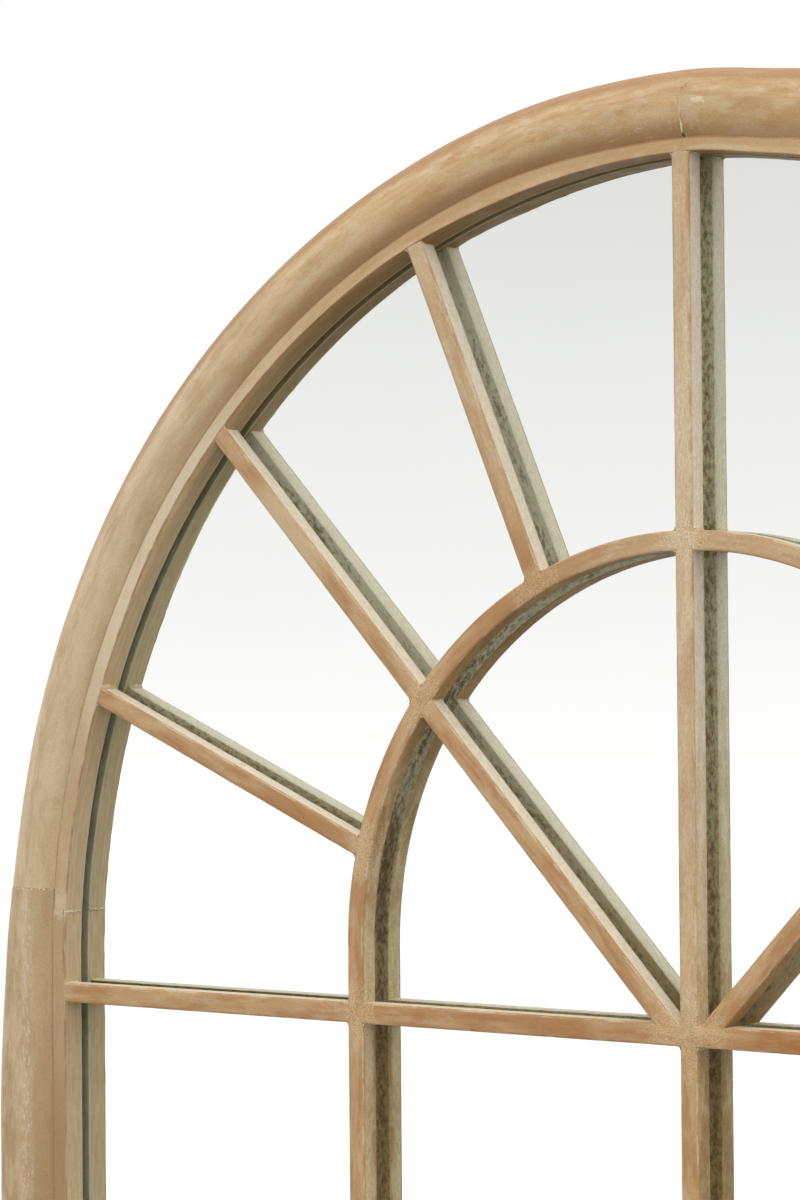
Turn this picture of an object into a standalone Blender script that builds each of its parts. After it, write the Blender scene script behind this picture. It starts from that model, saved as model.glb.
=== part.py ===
"""An arched wall mirror: a moulded frame in five parts, glazing bars with a fan of spokes that stand
clear of one mirror plate, a backing board, and two strap hangers whose rings swing.

Metres, +Z up. The front faces -Y and the wall is on the +Y side. The origin is under the middle of
the frame, halfway through its depth."""

import math

import bmesh
import bpy
from mathutils import Matrix, Vector

MM = 0.001

# Overall size and the frame's moulding, which is widest on the rail and the stiles
overall_width = 1018.8 * MM
overall_height = 1795.3 * MM
moulding_width = 58.4 * MM
arch_moulding_width = 46 * MM
crown_moulding_width = 44.3 * MM
crown_turn = math.radians(14)
torus_rise = 6 * MM
torus_shoulder_drop = 12 * MM
torus_crest_share = 0.372
sight_strip_width = 8 * MM
valley_width = 1.2 * MM
valley_depth = 0.8 * MM

# The joint between an arch and its stile, stepped at the sight strip
seam_above_sight_strip = 50 * MM
seam_step = 13 * MM

# The stretch over which the moulding narrows from the stile's width to the arch's
taper_above_springing = 120 * MM
taper_length = 200 * MM

# Heights above the springing bar's axis
frame_arc_rise = 19.5 * MM
inner_arc_rise = 38.5 * MM

# Glazing bars, and how far they stand in front of the glass
bar_width = 10.8 * MM
bar_depth = 12.4 * MM
bar_edge_radius = 1.2 * MM
bar_to_glass = 3.2 * MM
inner_arch_outer_radius = 230.4 * MM
rows_below_springing = 3

# Spokes: slope above the horizontal, and where their axis passes the centre line
long_spoke_slope = math.radians(46.8)
long_spoke_height = -9.7 * MM
low_spoke_slope = math.radians(23.5)
low_spoke_height = -1.7 * MM
high_spoke_slope = math.radians(67.1)
high_spoke_height = 12.3 * MM

# Stub tenons on the bars
tenon_width = 5 * MM
tenon_thickness = 6 * MM
tenon_length = 6 * MM
stub_length = 3 * MM
tenon_root = 4 * MM

# Loose tongues in the frame's own joints
tongue_thickness = 6 * MM
tongue_width = 18 * MM
tongue_length = 26 * MM
tongue_from_sight = 30 * MM

# Glass, backing board and the rebates that hold them
glass_thickness = 4 * MM
glass_lap = 11 * MM
glass_side_gap = 1 * MM
board_thickness = 5 * MM
board_lap = 8 * MM
board_recess = 5 * MM

# Board screws
board_screw_head_radius = 3.4 * MM
board_screw_head_height = 1.8 * MM
board_screw_radius = 1.6 * MM
board_screw_length = 12 * MM
board_screw_lap_share = 0.35
arch_screw_angles = [math.radians(angle) for angle in (20, 66)]
stile_screw_shares = [0.12, 0.49, 0.87]
rail_screw_share = 0.55

# Strap hangers
hanger_below_springing = 70 * MM
hanger_from_sight = 34.5 * MM
strap_width = 16 * MM
strap_length = 62 * MM
strap_thickness = 1.2 * MM
strap_screw_shares = [0.56, 0.84]
strap_screw_head_radius = 3.9 * MM
strap_screw_head_height = 2.2 * MM
strap_screw_radius = 2 * MM
strap_screw_length = 15 * MM
eye_turn = math.radians(270)
ring_wire = 3.5 * MM
ring_inner_width = 18.5 * MM
ring_side_length = 6 * MM
ring_corner_radius = 3 * MM

# Wall bumpers
bumper_radius = 11 * MM
bumper_thickness = 7 * MM
bumper_chamfer = 1 * MM
bumper_height = 42 * MM

# Clearance between pieces, and how far a cutter runs past what it cuts
fit_gap = 0.3 * MM
cut_overrun = 4 * MM

# Roundness: steps in a quarter of the frame's arc, in the taper below it, in a small round and in a
# turned piece
arc_steps = 40
taper_steps = 5
section_steps = 5
edge_steps = 2
turned_steps = 14

# Places that follow from the sizes above
outer_radius = overall_width / 2
sight_radius = outer_radius - moulding_width
torus_start = sight_strip_width + valley_width
torus_crest = torus_start + torus_crest_share * (moulding_width - torus_start)
frame_arc_height = overall_height - sight_radius - crown_moulding_width
springing_height = frame_arc_height - frame_arc_rise
taper_top = springing_height + taper_above_springing
taper_foot = taper_top - taper_length
inner_arc_height = springing_height + inner_arc_rise
wall_depth = bar_depth + bar_to_glass - fit_gap
glass_rebate = glass_lap + glass_side_gap
board_rebate = glass_rebate + board_lap
board_shoulder = wall_depth + fit_gap + glass_thickness
board_back = board_shoulder + fit_gap + board_thickness
moulding_depth = board_back + board_recess
total_depth = torus_rise + moulding_depth + fit_gap + bumper_thickness
bar_front = torus_rise - total_depth / 2
bar_middle = bar_front + bar_depth / 2
bar_back = bar_front + bar_depth
frame_back = bar_front + moulding_depth
inner_arch_radius = inner_arch_outer_radius - bar_width / 2
hanger_x = sight_radius + hanger_from_sight
row_height = (springing_height - moulding_width) / rows_below_springing
lower_bar_heights = [springing_height - row_height * row for row in range(1, rows_below_springing)]
hanger_height = springing_height - hanger_below_springing
half_turn = math.pi
quarter_turn = math.pi / 2
SIDES = {"left": -1, "right": 1}

# Finishes: base colour, roughness and metallic value
LIMED_WOOD = ((0.52, 0.37, 0.21), 0.6, 0)
BAR_WOOD = ((0.56, 0.41, 0.26), 0.6, 0)
RAW_WOOD = ((0.47, 0.31, 0.17), 0.75, 0)
SILVERED_GLASS = ((0.82, 0.86, 0.83), 0.02, 1)
HARDBOARD = ((0.17, 0.09, 0.045), 0.85, 0)
ZINC = ((0.62, 0.61, 0.57), 0.35, 1)
RUBBER = ((0.03, 0.03, 0.03), 0.8, 0)


def clear_scene():
    for old in list(bpy.data.objects):
        bpy.data.objects.remove(old, do_unlink=True)


def new_collection(name):
    collection = bpy.data.collections.new(name)
    bpy.context.scene.collection.children.link(collection)
    return collection


clear_scene()
mirror_parts = new_collection("arched_wall_mirror")
cutters = new_collection("cutters")


def finish(piece, look):
    """Gives a piece its own material."""
    colour, roughness, metallic = look
    material = bpy.data.materials.new(piece.name)
    material.use_nodes = True
    shader = material.node_tree.nodes["Principled BSDF"]
    shader.inputs["Base Color"].default_value = (*colour, 1)
    shader.inputs["Roughness"].default_value = roughness
    shader.inputs["Metallic"].default_value = metallic
    piece.data.materials.clear()
    piece.data.materials.append(material)


def add_piece(name, data, look=None):
    """A part with its finish, or a cutter when it has no look."""
    piece = bpy.data.objects.new(name, data)
    if look:
        mirror_parts.objects.link(piece)
        finish(piece, look)
    else:
        cutters.objects.link(piece)
        piece.hide_render = True
        piece.display_type = "WIRE"
    return piece


def mesh_piece(name, shape, look=None):
    bmesh.ops.recalc_face_normals(shape, faces=shape.faces[:])
    mesh = bpy.data.meshes.new(name)
    shape.to_mesh(mesh)
    shape.free()
    return add_piece(name, mesh, look)


def smooth(piece, sharpest=math.radians(30)):
    piece.data.shade_smooth()
    piece.data.set_sharp_from_angle(angle=sharpest)


def cut(piece, cutter, operation="DIFFERENCE"):
    change = piece.modifiers.new(cutter.name, "BOOLEAN")
    change.operation = operation
    change.object = cutter


def box(name, size, centre, turn=0, look=None):
    """A block turned about the line through the frame, from front to back."""
    shape = bmesh.new()
    bmesh.ops.create_cube(shape, size=1, matrix=Matrix.Diagonal((*size, 1)))
    piece = mesh_piece(name, shape, look)
    piece.location = centre
    piece.rotation_euler = (0, turn, 0)
    return piece


def hole(name, radius, depth_range, x, z):
    """A round cutter that runs from front to back."""
    start, end = depth_range
    shape = bmesh.new()
    bmesh.ops.create_cone(
        shape, cap_ends=True, segments=turned_steps, radius1=radius, radius2=radius, depth=end - start
    )
    piece = mesh_piece(name, shape)
    piece.location = (x, (start + end) / 2, z)
    piece.rotation_euler = (quarter_turn, 0, 0)
    return piece


def turned(name, profile, look):
    """A round piece about its own Z, from a profile of (radius, height) read from top to bottom."""
    shape = bmesh.new()
    corners = [shape.verts.new((radius, 0, height)) for radius, height in profile]
    for upper, lower in zip(corners, corners[1:]):
        shape.edges.new((upper, lower))
    mesh = bpy.data.meshes.new(name)
    shape.to_mesh(mesh)
    shape.free()
    piece = add_piece(name, mesh, look)
    turn = piece.modifiers.new("turn", "SCREW")
    turn.steps = turned_steps
    turn.render_steps = turned_steps
    turn.use_merge_vertices = True
    turn.merge_threshold = fit_gap / 30
    return piece


def flat_curve(name, outline, thickness):
    """A closed outline of (x, y) points, filled and given its thickness, as a mesh piece's data."""
    curve = bpy.data.curves.new(name, "CURVE")
    curve.dimensions = "2D"
    curve.fill_mode = "BOTH"
    curve.extrude = thickness / 2
    spline = curve.splines.new("POLY")
    spline.points.add(len(outline) - 1)
    for point, (x, y) in zip(spline.points, outline):
        point.co = (x, y, 0, 1)
    spline.use_cyclic_u = True
    drawn = bpy.data.objects.new(name, curve)
    cutters.objects.link(drawn)
    bpy.context.view_layer.update()
    mesh = bpy.data.meshes.new_from_object(drawn.evaluated_get(bpy.context.evaluated_depsgraph_get()))
    bpy.data.objects.remove(drawn, do_unlink=True)
    shape = bmesh.new()
    shape.from_mesh(mesh)
    bmesh.ops.remove_doubles(shape, verts=shape.verts[:], dist=fit_gap / 30)
    bmesh.ops.recalc_face_normals(shape, faces=shape.faces[:])
    shape.to_mesh(mesh)
    shape.free()
    mesh.name = name
    return mesh


def upright_plate(name, outline, front, thickness, look=None):
    """A plate parallel to the wall, from an outline of (x, z) points."""
    piece = add_piece(name, flat_curve(name, outline, thickness), look)
    piece.location = (0, front + thickness / 2, 0)
    piece.rotation_euler = (quarter_turn, 0, 0)
    return piece


def mirrored(piece, name, look):
    """The right-hand twin of a finished left-hand piece."""
    bpy.context.view_layer.update()
    graph = bpy.context.evaluated_depsgraph_get()
    mesh = bpy.data.meshes.new_from_object(piece.evaluated_get(graph))
    mesh.transform(Matrix.Diagonal((-1, 1, 1, 1)) @ piece.matrix_world)
    mesh.flip_normals()
    return add_piece(name, mesh, look)


def round_points(centre, radii, start, end, steps):
    """Points along an arc of a circle or an ellipse, both ends included."""
    angles = [start + (end - start) * step / steps for step in range(steps + 1)]
    return [(centre[0] + radii[0] * math.cos(a), centre[1] + radii[1] * math.sin(a)) for a in angles]


def moulding_section():
    """The frame's section, as points of (distance out from the sight edge, y)."""
    crest_front = bar_front - torus_rise
    run = torus_crest - torus_start
    drop = torus_rise + valley_depth
    inner_radius = (run * run + drop * drop) / (2 * drop)
    inner_reach = math.asin(run / inner_radius)
    inner_side = round_points(
        (torus_crest, crest_front + inner_radius),
        (inner_radius, inner_radius),
        -quarter_turn - inner_reach,
        -quarter_turn,
        section_steps,
    )
    outer_side = round_points(
        (torus_crest, crest_front + torus_shoulder_drop),
        (moulding_width - torus_crest, torus_shoulder_drop),
        -quarter_turn,
        0,
        section_steps,
    )
    return [
        (0, bar_front),
        (sight_strip_width, bar_front),
        *inner_side,
        *outer_side[1:],
        (moulding_width, frame_back),
        (board_rebate, frame_back),
        (board_rebate, bar_front + board_shoulder),
        (glass_rebate, bar_front + board_shoulder),
        (glass_rebate, bar_front + wall_depth),
        (0, bar_front + wall_depth),
    ]


def bar_section():
    """A glazing bar's section, as (x, y) points, with its two front edges eased."""
    half = bar_width / 2
    eased = (bar_edge_radius, bar_edge_radius)
    left = round_points(
        (bar_edge_radius - half, bar_front + bar_edge_radius), eased, half_turn, 1.5 * half_turn, edge_steps
    )
    right = round_points(
        (half - bar_edge_radius, bar_front + bar_edge_radius), eased, -quarter_turn, 0, edge_steps
    )
    return [(-half, bar_back), *left, *right, (half, bar_back)]


def block_section(width, front, back):
    half = width / 2
    return [(-half, back), (-half, front), (half, front), (half, back)]


def extrude_face(shape, face, way):
    """Pulls a face out and gives the new one."""
    grown = bmesh.ops.extrude_face_region(shape, geom=[face])["geom"]
    moved = [item for item in grown if isinstance(item, bmesh.types.BMVert)]
    bmesh.ops.translate(shape, vec=way, verts=moved)
    return next(item for item in grown if isinstance(item, bmesh.types.BMFace))


def spin_face(shape, face, centre_height):
    """Swings a face from the left up to the middle, about the line through an arc's centre."""
    bmesh.ops.spin(
        shape,
        geom=[face],
        cent=(0, 0, centre_height),
        axis=(0, 1, 0),
        angle=quarter_turn,
        steps=arc_steps,
    )


def trim(shape, point, normal):
    """Cuts off what lies on the normal's side of a plane and closes the cut."""
    everything = shape.verts[:] + shape.edges[:] + shape.faces[:]
    found = bmesh.ops.bisect_plane(
        shape, geom=everything, dist=fit_gap / 100, plane_co=point, plane_no=normal, clear_outer=True
    )
    rim = [item for item in found["geom_cut"] if isinstance(item, bmesh.types.BMEdge)]
    bmesh.ops.contextual_create(shape, geom=rim)


def straight_bar(name, section, start, end, look=None):
    """A section in X and Y pulled along Z."""
    shape = bmesh.new()
    face = shape.faces.new([shape.verts.new((x, y, start)) for x, y in section])
    extrude_face(shape, face, (0, 0, end - start))
    return mesh_piece(name, shape, look)


def curved_bar(name, section, look=None):
    """A section in X and Y swung along the inner arch's left quarter."""
    shape = bmesh.new()
    corners = [shape.verts.new((x - inner_arch_radius, y, inner_arc_height)) for x, y in section]
    spin_face(shape, shape.faces.new(corners), inner_arc_height)
    return mesh_piece(name, shape, look)


def ease(share):
    """A smooth step from 0 to 1."""
    share = min(max(share, 0), 1)
    return share * share * (3 - 2 * share)


def width_at(turn, height):
    """The moulding's width at an angle from the crown and a height."""
    over_arch = crown_moulding_width + (arch_moulding_width - crown_moulding_width) * ease(turn / crown_turn)
    return over_arch + (moulding_width - arch_moulding_width) * ease((taper_top - height) / taper_length)


def narrow_outer_side(shape):
    """Draws the side of the torus beyond its crest in, to the width that the moulding has there."""
    for vert in shape.verts:
        height = vert.co.z
        centre = Vector((0, vert.co.y, min(height, frame_arc_height)))
        away = vert.co - centre
        out = away.length - sight_radius
        if out > torus_crest:
            turn = math.atan2(-vert.co.x, max(height - frame_arc_height, 0))
            share = (out - torus_crest) / (moulding_width - torus_crest)
            reach = torus_crest + share * (width_at(turn, height) - torus_crest)
            vert.co = centre + away.normalized() * (sight_radius + reach)


def half_frame(name):
    """The left stile and the left quarter of the arch in one, mitred at the foot."""
    shape = bmesh.new()
    corners = [shape.verts.new((-sight_radius - out, y, 0)) for out, y in moulding_section()]
    inner_faces = [extrude_face(shape, shape.faces.new(corners), (0, 0, taper_foot))]
    for _ in range(taper_steps):
        inner_faces.append(extrude_face(shape, inner_faces[-1], (0, 0, (frame_arc_height - taper_foot) / taper_steps)))
    spin_face(shape, inner_faces[-1], frame_arc_height)
    bmesh.ops.delete(shape, geom=inner_faces, context="FACES_ONLY")
    narrow_outer_side(shape)
    trim(shape, (-fit_gap / 2, 0, 0), (1, 0, 0))
    mitre = Vector((1, 0, -1)).normalized()
    trim(shape, Vector((-outer_radius, 0, 0)) - mitre * fit_gap / 2, mitre)
    piece = mesh_piece(name, shape, LIMED_WOOD)
    smooth(piece)
    return piece


def seam_block(name, gap):
    """Everything above the stepped joint of arch and stile, on the left."""
    strip_seam = springing_height + seam_above_sight_strip - gap
    torus_seam = strip_seam + seam_step
    step = -sight_radius - sight_strip_width - gap
    left = -outer_radius - cut_overrun
    right = cut_overrun
    top = overall_height + cut_overrun
    outline = [
        (left, torus_seam),
        (step, torus_seam),
        (step, strip_seam),
        (right, strip_seam),
        (right, top),
        (left, top),
    ]
    front = bar_front - torus_rise - cut_overrun
    return upright_plate(name, outline, front, torus_rise + moulding_depth + 2 * cut_overrun)


def arch_outline(radius, floor):
    """A round-headed outline, level with the frame's own facets."""
    head = round_points((0, frame_arc_height), (radius, radius), 0, half_turn, 2 * arc_steps)
    return [(-radius, floor), (radius, floor), *head]


def bottom_rail_piece():
    shape = bmesh.new()
    corners = [shape.verts.new((-outer_radius, y, moulding_width - out)) for out, y in moulding_section()]
    extrude_face(shape, shape.faces.new(corners), (overall_width, 0, 0))
    for side in SIDES.values():
        mitre = Vector((side, 0, 1)).normalized()
        trim(shape, Vector((side * outer_radius, 0, 0)) - mitre * fit_gap / 2, mitre)
    piece = mesh_piece("bottom_rail", shape, LIMED_WOOD)
    smooth(piece)
    return piece


# The frame's five pieces start here; their sockets are cut as each bar is made
arch_left = half_frame("arch_left")
stile_left = half_frame("stile_left")
cut(arch_left, seam_block("arch_seam", 0), "INTERSECT")
cut(stile_left, seam_block("stile_seam", fit_gap))
bottom_rail = bottom_rail_piece()


def tongue(name, centre, turn, hosts):
    """A loose tongue across a joint of the frame, and its slot in each piece it joins."""
    size = Vector((tongue_width, tongue_thickness, tongue_length))
    grown = size + Vector((fit_gap, fit_gap, fit_gap)) * 2
    box(name, size, centre, turn, RAW_WOOD)
    slot = box(name + "_slot", grown, centre, turn)
    for host in hosts:
        cut(host, slot)


tongue_y = bar_front + wall_depth - tongue_thickness / 2
torus_seam_height = springing_height + seam_above_sight_strip + seam_step
shoulder_x = math.sqrt((sight_radius + tongue_from_sight) ** 2 - (torus_seam_height - frame_arc_height) ** 2)
for side_name, side in SIDES.items():
    on_left = side_name == "left"
    tongue(
        "shoulder_tongue_" + side_name,
        (side * shoulder_x, tongue_y, torus_seam_height),
        0,
        [arch_left, stile_left] if on_left else [],
    )
    tongue(
        "corner_tongue_" + side_name,
        (side * (sight_radius + tongue_from_sight), tongue_y, moulding_width - tongue_from_sight),
        side * quarter_turn / 2,
        [bottom_rail, stile_left] if on_left else [bottom_rail],
    )
tongue(
    "crown_tongue",
    (0, tongue_y, frame_arc_height + sight_radius + tongue_from_sight),
    quarter_turn,
    [arch_left],
)


def tenon(bar, foot, angle, length, hosts):
    """A stub on a bar's end at foot (x, z), pointing along angle, with a socket in each host."""
    way = Vector((math.cos(angle), 0, math.sin(angle)))
    start = Vector((foot[0], bar_middle, foot[1]))
    turn = quarter_turn - angle
    name = bar.name + f"_tenon_{len(bar.modifiers)}"
    middle = start + way * (length - tenon_root - fit_gap) / 2
    stub = box(name, (tenon_width, tenon_thickness, length + tenon_root + fit_gap), middle, turn)
    cut(bar, stub, "UNION")
    around = (tenon_width + 2 * fit_gap, tenon_thickness + 2 * fit_gap, length + tenon_root + fit_gap)
    socket = box(name + "_socket", around, start + way * (length + fit_gap - tenon_root) / 2, turn)
    for host in hosts:
        cut(host, socket)


opening = upright_plate(
    "opening",
    arch_outline(sight_radius - fit_gap, moulding_width + fit_gap),
    bar_front - cut_overrun,
    bar_depth + 2 * cut_overrun,
)
section = bar_section()
front_half = (bar_front - cut_overrun, bar_middle + fit_gap / 2)
back_half = (bar_middle - fit_gap / 2, bar_back + cut_overrun)


def half_lap(name, piece, other_turn, half, x, z):
    """Takes out half of a bar's depth where another bar crosses it."""
    front, back = half
    size = (bar_width + 2 * fit_gap, back - front, 2 * bar_width + 2 * cut_overrun)
    cut(piece, box(name, size, (x, (front + back) / 2, z), other_turn))


def upright_bar(name, x, top, hosts_foot):
    """A bar from the bottom rail to a height, with a tenon at its foot."""
    piece = straight_bar(name, section, moulding_width + fit_gap, top, BAR_WOOD)
    piece.location.x = x
    tenon(piece, (x, moulding_width), -quarter_turn, tenon_length, hosts_foot)
    return piece


def level_bar(name, height):
    """A bar from stile to stile."""
    reach = sight_radius - fit_gap
    piece = straight_bar(name, section, -reach, reach, BAR_WOOD)
    piece.location.z = height
    piece.rotation_euler = (0, quarter_turn, 0)
    tenon(piece, (-sight_radius, height), half_turn, tenon_length, [stile_left])
    tenon(piece, (sight_radius, height), 0, tenon_length, [])
    return piece


crown_sight = frame_arc_height + sight_radius
centre_bar = upright_bar("centre_bar", 0, crown_sight - fit_gap, [bottom_rail])
tenon(centre_bar, (0, crown_sight), quarter_turn, tenon_length, [arch_left])

inner_leg_left = upright_bar("inner_leg_left", -inner_arch_radius, inner_arc_height - fit_gap, [bottom_rail])
right_leg_socket = box(
    "right_leg_socket",
    (tenon_width + 2 * fit_gap, tenon_thickness + 2 * fit_gap, tenon_length + tenon_root + fit_gap),
    (inner_arch_radius, bar_middle, moulding_width - (tenon_length + fit_gap - tenon_root) / 2),
)
cut(bottom_rail, right_leg_socket)

springing_bar = level_bar("springing_bar", springing_height)
level_bars = [springing_bar]
for number, height in enumerate(lower_bar_heights, 1):
    level_bars.append(level_bar(f"lower_bar_{number}", height))
for level in level_bars:
    height = level.location.z
    for place, x in (("left", -inner_arch_radius), ("centre", 0), ("right", inner_arch_radius)):
        half_lap(f"{level.name}_lap_{place}", level, 0, front_half, x, height)
    half_lap(f"centre_bar_lap_{level.name}", centre_bar, quarter_turn, back_half, 0, height)
    half_lap(f"leg_lap_{level.name}", inner_leg_left, quarter_turn, back_half, -inner_arch_radius, height)

inner_arch_left = curved_bar("inner_arch_left", section, BAR_WOOD)
smooth(inner_arch_left)
tenon(inner_leg_left, (-inner_arch_radius, inner_arc_height), quarter_turn, tenon_length, [inner_arch_left])
inner_crown = inner_arc_height + inner_arch_radius
beside_centre_bar = box(
    "beside_centre_bar",
    (bar_width + 2 * fit_gap, bar_depth + 2 * cut_overrun, overall_height),
    (0, bar_middle, springing_height),
)
cut(inner_arch_left, beside_centre_bar)
tenon(inner_arch_left, (-bar_width / 2, inner_crown), 0, stub_length, [centre_bar])
right_stub_socket = box(
    "right_stub_socket",
    (stub_length + tenon_root + fit_gap, tenon_thickness + 2 * fit_gap, tenon_width + 2 * fit_gap),
    ((bar_width - stub_length - fit_gap + tenon_root) / 2, bar_middle, inner_crown),
)
cut(centre_bar, right_stub_socket)


def along_spoke(slope, height, radius, centre_rise):
    """How far along a spoke's axis, from the centre line, it meets a circle about the centre line."""
    below = height - centre_rise
    return -below * math.sin(slope) + math.sqrt(radius**2 - (below * math.cos(slope)) ** 2)


def spoke(name, slope, height, start):
    """A left-hand spoke from start, along its axis, to the frame."""
    frame_end = along_spoke(slope, height, sight_radius, frame_arc_rise)
    piece = straight_bar(name, section, start, frame_end + bar_width, BAR_WOOD)
    piece.location.z = springing_height + height
    piece.rotation_euler = (0, slope - quarter_turn, 0)
    cut(piece, opening, "INTERSECT")
    tenon(piece, spoke_point(slope, height, frame_end), half_turn - slope, tenon_length, [arch_left])
    return piece


def spoke_point(slope, height, along):
    return (-along * math.cos(slope), springing_height + height + along * math.sin(slope))


long_spoke_left = spoke(
    "long_spoke_left", long_spoke_slope, long_spoke_height, -long_spoke_height / math.sin(long_spoke_slope)
)
above_springing_bar = box(
    "above_springing_bar",
    (overall_width, bar_depth + 2 * cut_overrun, bar_width + 2 * fit_gap),
    (0, bar_middle, springing_height),
)
cut(long_spoke_left, above_springing_bar)
cut(long_spoke_left, beside_centre_bar)
arch_lap = curved_bar("arch_lap", block_section(bar_width + 2 * fit_gap, *front_half))
cut(long_spoke_left, arch_lap)
crossing = along_spoke(long_spoke_slope, long_spoke_height, inner_arch_radius, inner_arc_rise)
crossing_x, crossing_z = spoke_point(long_spoke_slope, long_spoke_height, crossing)
half_lap(
    "spoke_lap", inner_arch_left, long_spoke_slope - quarter_turn, back_half, crossing_x, crossing_z
)

within_inner_arch = upright_plate(
    "within_inner_arch",
    round_points(
        (0, inner_arc_height),
        (inner_arch_outer_radius + fit_gap, inner_arch_outer_radius + fit_gap),
        0,
        2 * half_turn,
        4 * arc_steps,
    )[:-1],
    bar_front - cut_overrun,
    bar_depth + 2 * cut_overrun,
)


def short_spoke(name, slope, height):
    arch_end = along_spoke(slope, height, inner_arch_outer_radius, inner_arc_rise)
    piece = spoke(name, slope, height, arch_end - bar_width / 2)
    cut(piece, within_inner_arch)
    foot = spoke_point(slope, height, arch_end)
    tenon(piece, foot, -slope, stub_length, [inner_arch_left])
    return piece


low_spoke_left = short_spoke("low_spoke_left", low_spoke_slope, low_spoke_height)
high_spoke_left = short_spoke("high_spoke_left", high_spoke_slope, high_spoke_height)

# The glass and the board behind it
upright_plate(
    "mirror_glass",
    arch_outline(sight_radius + glass_lap, moulding_width - glass_lap),
    bar_front + wall_depth + fit_gap,
    glass_thickness,
    SILVERED_GLASS,
)
board_overlap = board_rebate - glass_side_gap
backing_board = upright_plate(
    "backing_board",
    arch_outline(sight_radius + board_overlap, moulding_width - board_overlap),
    bar_front + board_shoulder + fit_gap,
    board_thickness,
    HARDBOARD,
)


def pan_screw(name, sizes, x, seat, z, hosts):
    """A pan head screw driven from the back, whose head sits on y = seat, with its hole in each host."""
    head_radius, head_height, radius, length = sizes
    dome = round_points((0, 0), (head_radius, head_height), quarter_turn, 0, edge_steps + 1)
    dome[0] = (0, head_height)
    profile = [*dome, (radius, 0), (radius, radius - length), (0, -length)]
    screw = turned(name, profile, ZINC)
    screw.location = (x, seat + fit_gap, z)
    screw.rotation_euler = (-quarter_turn, 0, 0)
    smooth(screw)
    drilled = hole(name + "_hole", radius + fit_gap, (seat - length, seat + cut_overrun), x, z)
    for host in hosts:
        cut(host, drilled)


# Board screws, along the step that the board lies on
board_screw_out = glass_rebate + board_screw_lap_share * board_lap
board_screw_line = sight_radius + board_screw_out
board_screw_sizes = (board_screw_head_radius, board_screw_head_height, board_screw_radius, board_screw_length)
board_screws = []
for angle in arch_screw_angles:
    up_arch = frame_arc_height + board_screw_line * math.sin(angle)
    board_screws.append((board_screw_line * math.cos(angle), up_arch, arch_left))
for share in stile_screw_shares:
    up_stile = moulding_width + share * (springing_height - moulding_width)
    board_screws.append((board_screw_line, up_stile, stile_left))
for number, (x, z, host) in enumerate(board_screws, 1):
    for side_name, side in SIDES.items():
        hosts = [backing_board, host] if side_name == "left" else [backing_board]
        pan_screw(
            f"board_screw_{side_name}_{number}", board_screw_sizes, side * x, bar_front + board_back, z, hosts
        )
for side_name, side in SIDES.items():
    pan_screw(
        f"board_screw_foot_{side_name}",
        board_screw_sizes,
        side * rail_screw_share * sight_radius,
        bar_front + board_back,
        moulding_width - board_screw_out,
        [backing_board, bottom_rail],
    )

# Strap hangers: the strap is one strip, curled at its top into an eye for the ring
eye_inner_radius = ring_wire / 2 + fit_gap
eye_outer_radius = eye_inner_radius + strap_thickness
strap_back = frame_back + fit_gap
pivot_y = strap_back + eye_outer_radius
strap_sizes = (strap_screw_head_radius, strap_screw_head_height, strap_screw_radius, strap_screw_length)


def strap_piece(side_name, x):
    around = (eye_outer_radius, 0)
    outer = round_points(around, (eye_outer_radius,) * 2, half_turn, half_turn - eye_turn, 2 * section_steps)
    inner = round_points(around, (eye_inner_radius,) * 2, half_turn - eye_turn, half_turn, 2 * section_steps)
    outline = [(0, -strap_length), *outer, *inner, (strap_thickness, -strap_length)]
    name = "hanger_strap_" + side_name
    strap = add_piece(name, flat_curve(name, outline, strap_width), ZINC)
    strap.location = (x, strap_back, hanger_height)
    strap.rotation_euler = (quarter_turn, 0, quarter_turn)
    smooth(strap)
    return strap


def ring_piece(side_name, x):
    """A D of round wire that hangs from the strap's eye; its origin is on the swing axis."""
    half = (ring_inner_width + ring_wire) / 2
    bend = (ring_corner_radius,) * 2
    path = [
        *round_points((0, -ring_side_length), (half, half), half_turn, 2 * half_turn, 2 * section_steps),
        *round_points((half - bend[0], -bend[0]), bend, 0, quarter_turn, edge_steps + 1),
        *round_points((bend[0] - half, -bend[0]), bend, quarter_turn, half_turn, edge_steps + 1),
    ]
    name = "hanger_ring_" + side_name
    curve = bpy.data.curves.new(name, "CURVE")
    curve.dimensions = "3D"
    curve.bevel_depth = ring_wire / 2
    curve.bevel_resolution = 2
    spline = curve.splines.new("POLY")
    spline.points.add(len(path) - 1)
    for point, (across, up) in zip(spline.points, path):
        point.co = (across, 0, up, 1)
    spline.use_cyclic_u = True
    ring = add_piece(name, curve, ZINC)
    ring.location = (x, pivot_y, hanger_height)


def bumper_piece(side_name, x):
    profile = [
        (0, bumper_thickness),
        (bumper_radius - bumper_chamfer, bumper_thickness),
        (bumper_radius, bumper_thickness - bumper_chamfer),
        (bumper_radius, 0),
        (0, 0),
    ]
    bumper = turned("bumper_" + side_name, profile, RUBBER)
    bumper.location = (x, frame_back + fit_gap, bumper_height)
    bumper.rotation_euler = (-quarter_turn, 0, 0)
    smooth(bumper)


for side_name, side in SIDES.items():
    x = side * hanger_x
    strap = strap_piece(side_name, x)
    ring_piece(side_name, x)
    bumper_piece(side_name, x)
    for number, share in enumerate(strap_screw_shares, 1):
        hosts = [strap, stile_left] if side_name == "left" else [strap]
        pan_screw(
            f"strap_screw_{side_name}_{number}",
            strap_sizes,
            x,
            strap_back + strap_thickness,
            hanger_height - share * strap_length,
            hosts,
        )

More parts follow.
